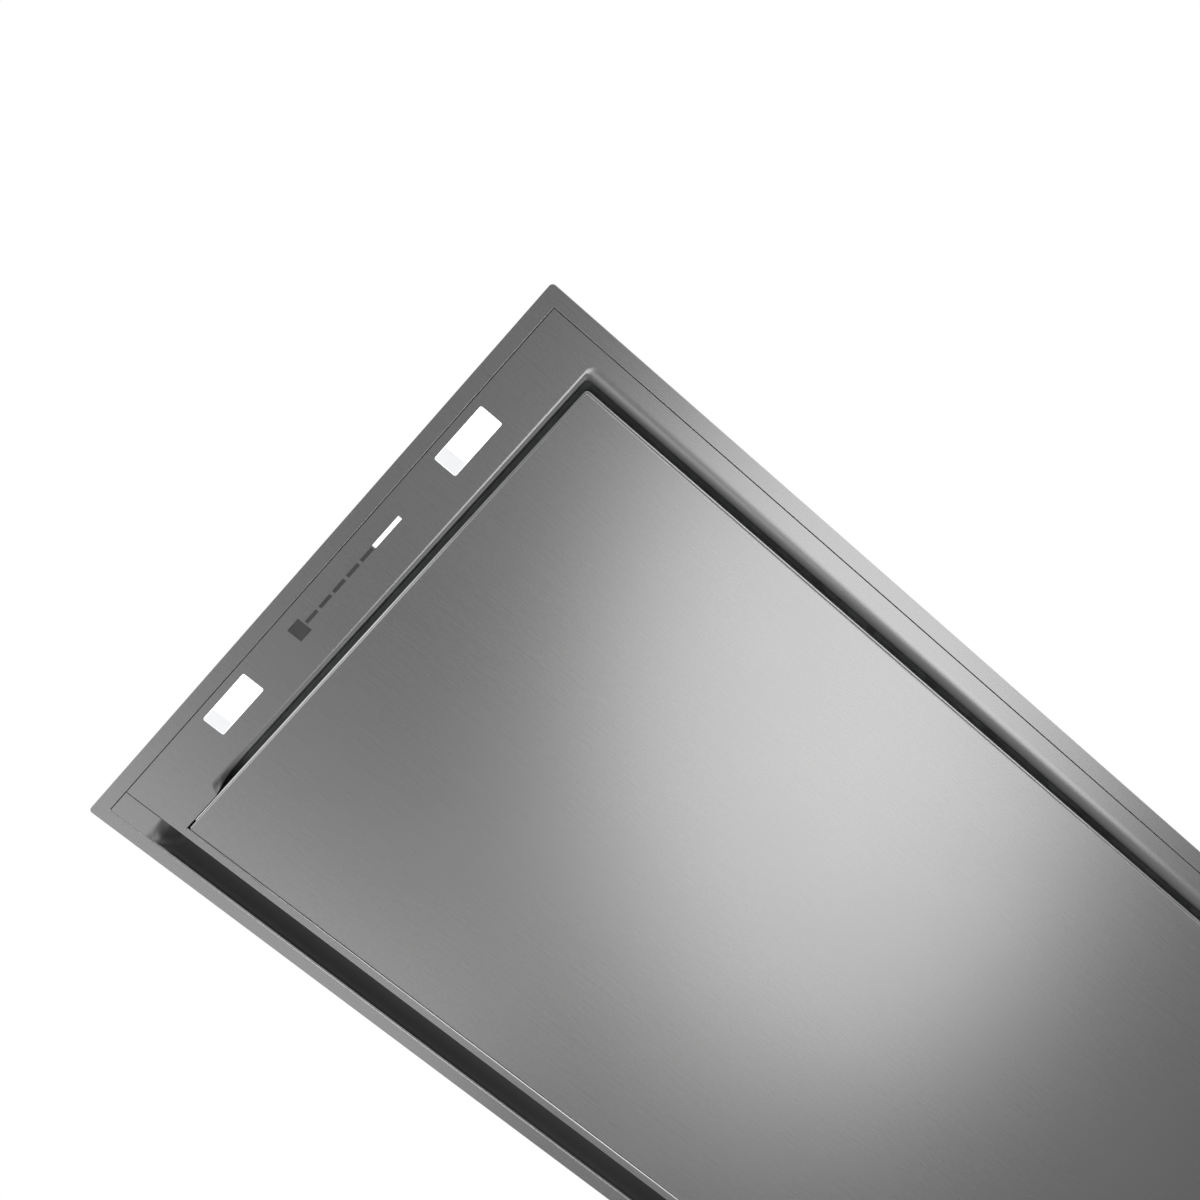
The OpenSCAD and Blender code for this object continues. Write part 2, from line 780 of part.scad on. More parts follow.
// Sheet that rests on the tray walls and holds the filters between two rails
rail_far = filter_y1 + near_fit;
rail_near = filter_y0 - near_fit - rail_t;
slot_z = latch_z - near_fit;
slot_top = latch_z + latch_t + near_fit;
rail_drop = 2;
rail_low = latch_z - rail_drop;
module filter_carrier() {
    color(zinc) {
        difference() {
            plate(throat_l, throat_w, throat_r, tray_h, carrier_t + rim_h);
            plate(throat_l - 2 * carrier_t, throat_w - 2 * carrier_t, throat_r,
                carrier_top, rim_h + overrun);
            for (x = filter_xs)
                translate([x, filter_mid, tray_h - overrun])
                    linear_extrude(carrier_t + 2 * overrun)
                        square([filter_l - 2 * filter_seat, filter_w - 2 * filter_seat], center = true);
            rivet_holes();
            holes(foot_screw_at, screw_r + screw_fit, tray_h, carrier_t);
        }
        along_x(filter_zone) {
            translate([rail_far, filter_z - near_fit - rail_t])
                square([rail_t, filter_t + near_fit + rail_t + weld]);
            translate([rail_far - rail_lip, filter_z - near_fit - rail_t])
                square([rail_lip + rail_t, rail_t]);
        }
        difference() {
            along_x(filter_zone) translate([rail_near, rail_low])
                square([rail_t, tray_h + weld - rail_low]);
            for (x = filter_xs)
                block([x - tongue_l / 2 - near_fit, rail_near - overrun, slot_z],
                    [x + tongue_l / 2 + near_fit, rail_near + rail_t + overrun, slot_top]);
        }
    }
}

// Frame of a grease filter: a channel all round, with guides for the latch under its near edge
module filter_frame(x) {
    color(alu) translate([x, filter_mid, 0]) {
        difference() {
            plate(filter_l, filter_w, 2 * filter_wall, filter_z, filter_t);
            plate(filter_l - 2 * filter_rim, filter_w - 2 * filter_rim, filter_wall,
                filter_z - overrun, filter_t + 2 * overrun);
            plate(filter_l - 2 * filter_wall, filter_w - 2 * filter_wall, filter_wall,
                filter_z + filter_wall, filter_t - 2 * filter_wall);
        }
        for (s = [-1, 1]) {
            guide_x = s * (latch_l / 2 + near_fit + guide_w / 2);
            hook_x = s * (latch_l / 2 + near_fit / 2);
            block([guide_x - guide_w / 2, latch_in - filter_w / 2, guide_z],
                [guide_x + guide_w / 2, filter_rim - filter_w / 2, filter_z + weld]);
            block([hook_x - guide_w / 2, latch_in - filter_w / 2, guide_z],
                [hook_x + guide_w / 2, filter_rim - filter_w / 2, latch_z - near_fit]);
        }
    }
}

// Folded sheet of expanded mesh that fills a filter frame
mesh_l = filter_l - 2 * filter_wall - 2 * near_fit;
mesh_w = filter_w - 2 * filter_wall - 2 * near_fit;
mesh_h = filter_t - 2 * filter_wall - 2 * near_fit;
fold_count = 2 * floor(mesh_l / fold_pitch / 2) + 1;
fold_step = (mesh_l - 2 * mesh_t) / fold_count;
function fold_point(i, z) = [-mesh_l / 2 + mesh_t + i * fold_step, z];
module filter_mesh(x) {
    color(alu) translate([x, filter_mid, filter_z + filter_wall + near_fit])
        rotate([90, 0, 0]) linear_extrude(mesh_w, center = true) polygon(concat(
            [for (i = [0:fold_count]) fold_point(i, i % 2 == 0 ? 0 : mesh_h - mesh_t)],
            [for (i = [fold_count:-1:0]) fold_point(i, i % 2 == 0 ? mesh_t : mesh_h)]
        ));
}

// Latch of a filter: a plate with a finger grip, and a tongue that enters the near rail
module filter_latch(x) {
    color(dark) translate([x, filter_y0, 0]) difference() {
        union() {
            block([-latch_l / 2, latch_in, latch_z], [latch_l / 2, latch_w, latch_z + latch_t]);
            block([-tongue_l / 2, -tongue_out, latch_z],
                [tongue_l / 2, latch_in + weld, latch_z + latch_t]);
        }
        translate([0, latch_w / 2 + grip_off, latch_z - overrun]) linear_extrude(latch_t + 2 * overrun)
            round_rect(grip_l, grip_w, grip_w / 3);
    }
}

// Lamp lenses, flush behind their windows, with a flange inside the tray
module lamp_lenses() {
    color(white) {
        translate([0, 0, face_z + lens_recess])
            linear_extrude(sheet_t - lens_recess + weld) lamp_outline(-lens_fit);
        translate([0, 0, skin_z]) linear_extrude(lens_t) lamp_outline(lens_flange);
    }
}

// Lamp housings: open below, with cooling fins on top
housing_in_w = lamp_w + 2 * lens_flange + 2 * near_fit;
housing_in_l = lamp_l + 2 * lens_flange + 2 * near_fit;
module lamp_housings() {
    color(alu) for (x = [-lamp_x, lamp_x], y = lamp_ys) translate([x, y, skin_z]) {
        difference() {
            linear_extrude(housing_h)
                round_rect(housing_in_w + 2 * housing_wall, housing_in_l + 2 * housing_wall,
                    lamp_r + lens_flange);
            translate([0, 0, -overrun]) linear_extrude(housing_h - housing_wall + overrun)
                round_rect(housing_in_w, housing_in_l, lamp_r + lens_flange - housing_wall);
        }
        for (i = [0:fin_count - 1])
            translate([0, (i - (fin_count - 1) / 2) * housing_in_l / fin_count,
                housing_h + (fin_h - weld) / 2])
                cube([housing_in_w, fin_t, fin_h + weld], center = true);
    }
}

// Boards with the light sources, under the roof of each housing
board_z = skin_z + housing_h - housing_wall - led_board_t;
module lamp_led_boards() {
    color(white) for (x = [-lamp_x, lamp_x], y = lamp_ys) translate([x, y, board_z]) {
        translate([0, 0, led_board_t / 2])
            cube([lamp_w - 2 * led_t, lamp_l - 2 * led_t, led_board_t], center = true);
        for (i = [0:led_count - 1])
            translate([0, (i - (led_count - 1) / 2) * lamp_l / led_count, -led_t / 2 + weld / 2])
                cube([led_s, led_s, led_t + weld], center = true);
    }
}

module control_light_bar() {
    color(white) translate([0, 0, face_z]) linear_extrude(guide_h) bar_outline(-guide_fit);
}
module control_marks() {
    color(dark) translate([0, 0, face_z]) linear_extrude(guide_h) dash_outline(-guide_fit);
}
module control_key() {
    color(dark) translate([0, 0, face_z]) linear_extrude(guide_h) key_outline(-guide_fit);
}

// Holder that keeps the light guides apart between the tray and the control board
module control_holder() {
    color(dark) translate([0, 0, skin_z]) linear_extrude(guide_h - sheet_t) difference() {
        translate([-lamp_x, lamp_shift]) round_rect(holder_w, holder_l, lamp_r);
        bar_outline(0);
        dash_outline(0);
        key_outline(0);
    }
}
module control_board() {
    color("darkgreen") translate([-lamp_x, lamp_shift, face_z + guide_h]) {
        linear_extrude(board_t) square([holder_w, holder_l], center = true);
        for (i = [0:dash_count - 1])
            translate([0, (i - (dash_count - 1) / 2) * dash_pitch, board_t + chip_h / 2 - weld / 2])
                cube([chip_s, chip_s, chip_h + weld], center = true);
    }
}

// Places of the screws in the foot of the blower box
foot_l = box_l + 2 * foot_w;
foot_d = box_w + 2 * foot_w;
long_share = 0.4;
short_share = 0.3;
cover_share = 0.44;
box_screw_at = concat(
    [for (i = [-1:1], s = [-1, 1]) [i * long_share * box_l, s * (box_w + foot_w) / 2]],
    [for (i = [-1, 1], s = [-1, 1]) [s * (box_l + foot_w) / 2, i * short_share * box_w]]
);
foot_screw_at = concat(
    [for (i = [-2:2], s = [-1, 1]) [i * rivet_share * casing_l, s * (casing_w + plenum_foot_w) / 2]],
    [for (i = [-1:1], s = [-1, 1]) [s * (casing_l + plenum_foot_w) / 2, i * short_share * casing_w]]
);
cover_screw_at = [for (i = [-1:1], s = [-1, 1]) [i * cover_share * box_l, s * (box_w - foot_w) / 2]];
hanger_at = [for (x = [-1, 1], y = [-1, 1]) [x * hanger_x, y * hanger_y]];
hanger_screw_at = [for (p = hanger_at, s = [-1, 1]) [p[0] + s * hanger_w / 4, p[1]]];
collar_screw_at = [for (x = [-1, 1], z = [-1, 1])
    [x * (spigot_flange / 2 - foot_w / 2), z * (spigot_flange / 2 - foot_w / 2)]];

module holes(points, r, z, h) {
    for (p = points) translate([p[0], p[1], z - overrun])
        cylinder(r = r, h = h + 2 * overrun, $fn = small_fn);
}

// A screw with a flat round head, seated on z = 0
module screw(l) {
    translate([0, 0, -l]) cylinder(r = screw_r, h = l + weld, $fn = small_fn);
    difference() {
        cylinder(r = screw_head_r, h = screw_head_h, $fn = small_fn);
        translate([0, 0, screw_head_h / 2]) cylinder(r = screw_r, h = screw_head_h, $fn = 6);
    }
}
module screws(points, z, l) {
    color(alu) for (p = points) translate([p[0], p[1], z]) screw(l);
}

// Plenum on the carrier: a foot, four walls and a deck with stiffening beads
module plenum_casing() {
    color(zinc) difference() {
        union() {
            plate(casing_l + 2 * plenum_foot_w, casing_w + 2 * plenum_foot_w, casing_r,
                carrier_top, casing_t);
            plate(casing_l, casing_w, casing_r, carrier_top, casing_h - carrier_top);
            for (s = [-1, 1], x = bead_xs)
                translate([s * x, bead_y, casing_h - weld]) linear_extrude(bead_h + weld)
                    round_rect(bead_w, bead_l, bead_w / 2 - weld);
        }
        plate(casing_l - 2 * casing_t, casing_w - 2 * casing_t, casing_r,
            carrier_top - overrun, deck_z - carrier_top + overrun);
        translate([axis_x, axis_y, deck_z - overrun])
            cylinder(r = inlet_r + inlet_run, h = casing_t + 2 * overrun, $fn = wide_fn);
        holes(box_screw_at, screw_r + screw_fit, deck_z, casing_t);
        holes(hanger_screw_at, screw_r + screw_fit, deck_z, casing_t);
        holes(foot_screw_at, screw_r + screw_fit, carrier_top, casing_t);
    }
}
module plenum_screws() {
    screws(foot_screw_at, carrier_top + casing_t, screw_l);
}

// Blind rivets round the upstand of the trim
module frame_rivets() {
    color(alu) at_rivets() {
        translate([0, 0, -rivet_depth]) cylinder(r = rivet_r, h = rivet_depth + weld, $fn = small_fn);
        cylinder(r1 = rivet_head_r, r2 = rivet_r, h = rivet_head_h, $fn = small_fn);
        translate([0, 0, -rivet_depth - rivet_tail_h])
            cylinder(r = rivet_tail_r, h = rivet_tail_h, $fn = small_fn);
    }
}

// Hangers on the deck: a foot, a web and a shelf with the hole for the rod
module hanger_brackets() {
    color(zinc) for (p = hanger_at) translate([p[0], p[1], casing_h]) {
        out = p[1] > 0 ? 1 : -1;
        difference() {
            union() {
                translate([-hanger_w / 2, -hanger_d / 4, 0]) cube([hanger_w, hanger_d / 2, hanger_t]);
                translate([-hanger_w / 2, out > 0 ? hanger_d / 4 - hanger_t : -hanger_d / 4, 0])
                    cube([hanger_w, hanger_t, hanger_h]);
                translate([-hanger_w / 2, out > 0 ? hanger_d / 4 - hanger_d : -hanger_d / 4,
                    hanger_h - hanger_t])
                    cube([hanger_w, hanger_d, hanger_t]);
            }
            holes([for (s = [-1, 1]) [s * hanger_w / 4, 0]], screw_r + screw_fit, 0, hanger_t);
            translate([0, out * (hanger_d / 4 - hanger_d / 2), hanger_h - hanger_t - overrun])
                cylinder(r = hanger_hole_r, h = hanger_t + 2 * overrun, $fn = round_fn);
        }
    }
}
module hanger_screws() {
    screws(hanger_screw_at, casing_h + hanger_t, screw_l);
}

// Blower box: walls, a foot flange on the deck and an inner flange for the cover
module blower_box() {
    color(zinc) difference() {
        union() {
            plate(foot_l, foot_d, casing_r, casing_h, casing_t);
            plate(box_l, box_w, casing_r, casing_h, box_h);
        }
        plate(box_l - 2 * casing_t, box_w - 2 * casing_t, casing_r, casing_h - overrun,
            box_h - casing_t + overrun);
        plate(box_l - 2 * foot_w, box_w - 2 * foot_w, casing_r, box_top - 2 * casing_t, 3 * casing_t);
        holes(box_screw_at, screw_r + screw_fit, casing_h, casing_t);
        holes(cover_screw_at, screw_r + screw_fit, box_top - casing_t, casing_t);
        translate([spigot_x, spigot_y + overrun, spigot_z]) rotate([90, 0, 0])
            cylinder(r = bore_r, h = casing_t + 2 * overrun, $fn = wide_fn);
        for (p = collar_screw_at)
            translate([spigot_x + p[0], spigot_y + overrun, spigot_z + p[1]]) rotate([90, 0, 0])
                cylinder(r = screw_r + screw_fit, h = casing_t + 2 * overrun, $fn = small_fn);
    }
}
module box_screws() {
    screws(box_screw_at, casing_h + casing_t, screw_l);
}

// Cover of the blower box, with a raised centre field
cover_field_h = 4;
module blower_box_cover() {
    color(zinc) difference() {
        union() {
            plate(box_l, box_w, casing_r, box_top, casing_t);
            plate(box_l - 4 * foot_w, box_w - 4 * foot_w, foot_w, box_top, cover_field_h);
        }
        plate(box_l - 4 * foot_w - 2 * casing_t, box_w - 4 * foot_w - 2 * casing_t, foot_w - casing_t,
            box_top - overrun, cover_field_h - casing_t + overrun);
        holes(cover_screw_at, screw_r + screw_fit, box_top, casing_t);
    }
}
module cover_screws() {
    screws(cover_screw_at, box_top + casing_t, screw_l);
}

// Outlines of the scroll: the spiral, and the neck that leads to the outlet
spiral_in = [for (i = [0:scroll_steps])
    let (a = tongue_angle + (360 - tongue_angle) * i / scroll_steps) polar(scroll_r(a), a)];
spiral_out = [for (i = [0:scroll_steps])
    let (a = wall_angle + (360 - wall_angle) * i / scroll_steps) polar(scroll_r(a) + scroll_wall, a)];
module scroll_inside(past) {
    polygon(concat(spiral_in, [[reach, neck_y + past], [tongue_x, neck_y + past]]));
}
module scroll_outside() {
    polygon(concat(spiral_out, [[reach + scroll_wall, neck_y], [wall_x, neck_y]]));
}

module blower_scroll() {
    color(zinc) translate([axis_x, axis_y, 0]) {
        translate([0, 0, scroll_z]) linear_extrude(scroll_h) difference() {
            scroll_outside();
            scroll_inside(overrun);
        }
        translate([0, 0, scroll_z]) linear_extrude(scroll_wall) difference() {
            scroll_outside();
            circle(inlet_r + inlet_run / 2, $fn = wide_fn);
        }
        difference() {
            translate([0, 0, scroll_top - scroll_wall]) linear_extrude(scroll_wall) difference() {
                scroll_outside();
                circle(motor_hole_r, $fn = wide_fn);
            }
            holes(grommet_points, screw_r + screw_fit, scroll_top - scroll_wall, scroll_wall);
        }
    }
}

// Bell-mouthed inlet between the plenum and the wheel
module inlet_ring() {
    color(zinc) translate([axis_x, axis_y, casing_h]) rotate_extrude($fn = wide_fn) polygon(concat(
        [[inlet_r + inlet_run + foot_w, 0]],
        [for (i = [0:inlet_steps])
            let (a = 90 * i / inlet_steps)
            [inlet_r + inlet_run * (1 - sin(a)), inlet_rise * (1 - cos(a))]],
        [for (i = [inlet_steps:-1:0])
            let (a = 90 * i / inlet_steps)
            [inlet_r + inlet_run * (1 - sin(a)) + inlet_t * sin(a),
                inlet_rise * (1 - cos(a)) + inlet_t * cos(a)]],
        [[inlet_r + inlet_run + foot_w, inlet_t]]
    ));
}

// Rubber buffers that carry the scroll on the flange of the inlet ring
buffer_r = 6;
buffer_points = [for (i = [0:3]) polar(inlet_r + inlet_run + foot_w / 2, 45 + 90 * i)];
module scroll_buffers() {
    color(dark) translate([axis_x, axis_y, casing_h + inlet_t]) for (p = buffer_points)
        translate(p) cylinder(r = buffer_r, h = scroll_lift - inlet_t, $fn = small_fn);
}

// Forward-curved blade: an arc band between the inner and the outer radius of the wheel
blade_r = wheel_r - blade_depth;
blade_steps = 4;
blade_bow = blade_depth / 3;
blade_lead_angle = 10;
function blade_point(s, side) = let (
    r = blend(blade_r + weld, wheel_r - weld, s),
    along = blade_bow * 4 * s * (1 - s) + side * blade_t / 2,
    a = blade_lead_angle * s * s
) [r * cos(a) - along * sin(a), r * sin(a) + along * cos(a)];
module blade() {
    polygon(concat(
        [for (i = [0:blade_steps]) blade_point(i / blade_steps, -1)],
        [for (i = [blade_steps:-1:0]) blade_point(i / blade_steps, 1)]
    ));
}

// Wheel: two rings, the blades between them, and a dished back that leaves room for the motor
module blower_wheel() {
    color(dark) translate([axis_x, axis_y, 0]) {
        translate([0, 0, wheel_z + ring_t - weld]) linear_extrude(wheel_h - 2 * ring_t + 2 * weld)
            for (i = [0:blade_count - 1]) rotate(i * 360 / blade_count) blade();
        rotate_extrude($fn = wide_fn) {
            translate([blade_r, wheel_z]) square([blade_depth, ring_t]);
            translate([dish_r, wheel_top - ring_t]) square([wheel_r - dish_r, ring_t]);
            translate([dish_r, dish_z]) square([ring_t, dish_depth]);
            translate([shaft_r, dish_z]) square([dish_r - shaft_r + ring_t, ring_t]);
            translate([shaft_r, dish_z - hub_h]) square([hub_r - shaft_r, hub_h + ring_t]);
        }
    }
}
shaft_low = dish_z - hub_h;
shaft_in = 40;
shaft_top = motor_z + shaft_in;
shaft_clear = 1;
module motor_shaft() {
    color(alu) translate([axis_x, axis_y, shaft_low])
        cylinder(r = shaft_r, h = shaft_top - shaft_low, $fn = round_fn);
}
module shaft_bearing() {
    color(alu) translate([axis_x, axis_y, motor_z]) difference() {
        cylinder(r = bearing_r, h = bearing_h, $fn = round_fn);
        translate([0, 0, -overrun])
            cylinder(r = shaft_r + hinge_fit, h = bearing_h + 2 * overrun, $fn = round_fn);
    }
}

// Motor: a body that hangs into the dish of the wheel, and a finned cap above the bracket
cap_fins = 24;
module blower_motor() {
    color("dimgray") translate([axis_x, axis_y, 0]) {
        difference() {
            translate([0, 0, motor_z]) cylinder(r = motor_r, h = motor_low_h, $fn = wide_fn);
            translate([0, 0, motor_z - overrun])
                cylinder(r = bearing_r, h = bearing_h + overrun, $fn = round_fn);
            translate([0, 0, motor_z])
                cylinder(r = shaft_r + shaft_clear, h = shaft_in + shaft_clear, $fn = round_fn);
        }
        translate([0, 0, scroll_top + grommet_h + bracket_t])
            cylinder(r = motor_r, h = motor_cap_h - cap_fin_rise, $fn = wide_fn);
        for (i = [0:cap_fins - 1])
            rotate(i * 360 / cap_fins)
                translate([motor_r / 2, -fin_t / 2, scroll_top + grommet_h + bracket_t])
                    cube([motor_r / 2 + 2 * fin_t, fin_t, motor_cap_h]);
    }
}

// Three-armed bracket that carries the motor on rubber grommets above the scroll
grommet_points = [for (i = [0:2]) polar(grommet_at, 30 + 120 * i)];
module motor_bracket() {
    color(zinc) translate([axis_x, axis_y, scroll_top + grommet_h]) difference() {
        linear_extrude(bracket_t) {
            circle(motor_r + bracket_rim, $fn = wide_fn);
            for (i = [0:2]) rotate(30 + 120 * i) translate([0, -arm_w / 2]) square([grommet_at, arm_w]);
            for (p = grommet_points) translate(p) circle(grommet_r + boss_rim, $fn = round_fn);
        }
        holes(grommet_points, screw_r + screw_fit, 0, bracket_t);
    }
}
module motor_grommets() {
    color(dark) translate([axis_x, axis_y, scroll_top]) for (p = grommet_points)
        translate(p) difference() {
            cylinder(r = grommet_r, h = grommet_h, $fn = small_fn);
            translate([0, 0, -overrun])
                cylinder(r = screw_r + screw_fit, h = grommet_h + 2 * overrun, $fn = small_fn);
        }
}

module motor_screws() {
    translate([axis_x, axis_y, 0])
        screws(grommet_points, scroll_top + grommet_h + bracket_t, grommet_h + bracket_t + scroll_wall);
}

// Cone between the square neck of the scroll and the round outlet
neck_half = (reach - tongue_x) / 2 + scroll_wall;
cone_y = axis_y + neck_y;
module cone_form(shrink, past) {
    hull() {
        translate([spigot_x, cone_y - past, scroll_z + scroll_h / 2])
            cube([2 * (neck_half - shrink), 2 * past + weld, scroll_h - 2 * shrink], center = true);
        translate([spigot_x, cone_y + cone_l + past, spigot_z]) rotate([90, 0, 0])
            cylinder(r = bore_r + scroll_wall - shrink, h = 2 * past + weld, $fn = round_fn);
    }
}
module outlet_cone() {
    color(zinc) intersection() {
        difference() {
            cone_form(0, overrun);
            cone_form(scroll_wall, 2 * overrun);
        }
        translate([-face_l / 2, cone_y, 0]) cube([face_l, cone_l, box_top]);
    }
}

// Collar with the duct spigot, the stop ring and the holes for the damper rod
module collar_round(r, h, fn) {
    rotate([-90, 0, 0]) cylinder(r = r, h = h, $fn = fn);
}
module outlet_collar() {
    color(dark) translate([spigot_x, spigot_y, spigot_z]) difference() {
        union() {
            translate([0, spigot_plate_t / 2, 0])
                cube([spigot_flange, spigot_plate_t, spigot_flange], center = true);
            collar_round(spigot_r, spigot_l + spigot_plate_t, wide_fn);
        }
        translate([0, -overrun, 0]) collar_round(bore_r - stop_w, spigot_l + 3 * overrun, wide_fn);
        translate([0, -overrun, 0])
            collar_round(bore_r, flap_y - spigot_y - flap_t / 2 - near_fit - stop_t + overrun, wide_fn);
        translate([0, flap_y - spigot_y - flap_t / 2 - near_fit, 0]) collar_round(bore_r, spigot_l, wide_fn);
        translate([0, flap_y - spigot_y, 0])
            cylinder(r = hinge_rod_r, h = 2 * (spigot_r + overrun), center = true, $fn = round_fn);
        for (p = collar_screw_at)
            translate([p[0], -overrun, p[1]])
                collar_round(screw_r + screw_fit, spigot_plate_t + 2 * overrun, small_fn);
    }
}
module collar_screws() {
    color(alu) for (p = collar_screw_at)
        translate([spigot_x + p[0], spigot_y + spigot_plate_t, spigot_z + p[1]])
            rotate([-90, 0, 0]) screw(screw_l);
}
module damper_rod() {
    color(alu) translate([spigot_x, flap_y, spigot_z])
        cylinder(r = hinge_rod_r, h = 2 * spigot_r, center = true, $fn = round_fn);
}

// Half-round flap on the damper rod; its knuckles sit at the heights given, up and down
module damper_flap(side, knuckle_at) {
    color(alu) translate([spigot_x, flap_y, spigot_z]) difference() {
        union() {
            intersection() {
                translate([0, -flap_t / 2, 0]) collar_round(flap_r, flap_t, wide_fn);
                translate([side * (flap_start + flap_r / 2), 0, 0])
                    cube([flap_r, flap_r, 2 * flap_r], center = true);
            }
            for (z = knuckle_at) translate([0, 0, z]) {
                cylinder(r = flap_knuckle_r, h = flap_knuckle_l, center = true, $fn = round_fn);
                translate([side * flap_start / 2, 0, 0])
                    cube([flap_start + 2 * weld, flap_t, flap_knuckle_l], center = true);
            }
        }
        cylinder(r = hinge_rod_r + hinge_fit, h = 2 * spigot_r, center = true, $fn = round_fn);
    }
}
flap_knuckle_step = flap_knuckle_l + near_fit;
module damper_flap_left() {
    damper_flap(-1, [-1.5 * flap_knuckle_step, 0.5 * flap_knuckle_step]);
}
module damper_flap_right() {
    damper_flap(1, [-0.5 * flap_knuckle_step, 1.5 * flap_knuckle_step]);
}

// Electronics box on the deck, its cover, its terminals and the gland for the mains lead
module electronics_box() {
    color(dark) translate([elec_x, elec_y, casing_h]) difference() {
        linear_extrude(elec_h) round_rect(elec_l, elec_w, 2 * elec_wall);
        translate([0, 0, elec_wall]) linear_extrude(elec_h)
            round_rect(elec_l - 2 * elec_wall, elec_w - 2 * elec_wall, elec_wall);
        translate([-elec_l / 2 - overrun, 0, gland_z]) rotate([0, 90, 0])
            cylinder(r = gland_thread_r, h = elec_wall + 2 * overrun, $fn = round_fn);
    }
}
module electronics_cover() {
    color(dark) translate([elec_x, elec_y, casing_h + elec_h]) {
        linear_extrude(elec_wall) round_rect(elec_l + 2 * elec_wall, elec_w + 2 * elec_wall, 3 * elec_wall);
        translate([0, 0, -2 * elec_wall]) linear_extrude(2 * elec_wall + weld) difference() {
            round_rect(elec_l - 2 * elec_wall - near_fit, elec_w - 2 * elec_wall - near_fit, elec_wall);
            round_rect(elec_l - 4 * elec_wall - near_fit, elec_w - 4 * elec_wall - near_fit, elec_wall);
        }
    }
}
terminal_s = 14;
terminal_h = 16;
module terminal_block() {
    color(white) translate([elec_x - elec_l / 4, elec_y, casing_h + elec_wall]) difference() {
        translate([0, 0, terminal_h / 2]) cube([terminal_s, 3 * terminal_s, terminal_h], center = true);
        for (i = [-1:1]) translate([0, i * terminal_s, terminal_h / 2])
            cylinder(r = terminal_s / 4, h = terminal_h, $fn = small_fn);
    }
}
module cable_gland() {
    color(dark) translate([elec_x - elec_l / 2, elec_y, casing_h + gland_z]) rotate([0, -90, 0])
    difference() {
        union() {
            translate([0, 0, -2 * elec_wall])
                cylinder(r = gland_thread_r, h = 4 * elec_wall, $fn = round_fn);
            cylinder(r = gland_flange_r, h = 2 * elec_wall, $fn = 6);
            cylinder(r = gland_flange_r - elec_wall, h = gland_l - elec_wall, $fn = round_fn);
            cylinder(r = gland_flange_r - 3 * elec_wall, h = gland_l, $fn = round_fn);
        }
        translate([0, 0, -3 * elec_wall])
            cylinder(r = gland_r, h = gland_l + 4 * elec_wall, $fn = round_fn);
    }
}

trim_frame();
face_tray();
far_strip();
panel_skin();
panel_stiffeners();
panel_hinge_leaves();
catch_keepers();
catch_magnets();
hinge_brackets();
hinge_pins();
filter_carrier();
filter_frame(filter_xs[0]);  // filter_frame_1
filter_frame(filter_xs[1]);  // filter_frame_2
filter_frame(filter_xs[2]);  // filter_frame_3
filter_mesh(filter_xs[0]);  // filter_mesh_1
filter_mesh(filter_xs[1]);  // filter_mesh_2
filter_mesh(filter_xs[2]);  // filter_mesh_3
filter_latch(filter_xs[0]);  // filter_latch_1
filter_latch(filter_xs[1]);  // filter_latch_2
filter_latch(filter_xs[2]);  // filter_latch_3
lamp_lenses();
lamp_housings();
lamp_led_boards();
control_light_bar();
control_marks();
control_key();
control_holder();
control_board();
plenum_casing();
hanger_brackets();
hanger_screws();
plenum_screws();
frame_rivets();
blower_box();
blower_box_cover();
box_screws();
cover_screws();
blower_scroll();
inlet_ring();
scroll_buffers();
blower_wheel();
motor_shaft();
shaft_bearing();
blower_motor();
motor_bracket();
motor_grommets();
motor_screws();
outlet_cone();
outlet_collar();
collar_screws();
damper_rod();
damper_flap_left();
damper_flap_right();
electronics_box();
electronics_cover();
terminal_block();
cable_gland();
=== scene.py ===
import bmesh
import bpy
import json
import math
from mathutils import Matrix, Vector


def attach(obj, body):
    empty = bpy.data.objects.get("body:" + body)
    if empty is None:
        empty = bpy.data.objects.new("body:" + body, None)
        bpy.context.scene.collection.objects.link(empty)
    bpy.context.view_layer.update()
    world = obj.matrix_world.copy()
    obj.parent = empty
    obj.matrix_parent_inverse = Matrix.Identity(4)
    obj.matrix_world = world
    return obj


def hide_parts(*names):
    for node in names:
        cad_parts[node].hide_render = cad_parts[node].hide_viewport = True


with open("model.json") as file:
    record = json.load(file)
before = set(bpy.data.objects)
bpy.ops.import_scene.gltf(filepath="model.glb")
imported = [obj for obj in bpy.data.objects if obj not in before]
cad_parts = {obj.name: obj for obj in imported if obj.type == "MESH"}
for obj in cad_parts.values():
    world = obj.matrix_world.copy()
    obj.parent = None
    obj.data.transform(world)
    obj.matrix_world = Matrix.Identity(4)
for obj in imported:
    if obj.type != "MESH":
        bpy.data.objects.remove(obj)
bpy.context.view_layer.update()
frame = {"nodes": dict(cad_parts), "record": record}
scene = bpy.context.scene
scene.view_settings.view_transform = "Standard"

MM = 0.001


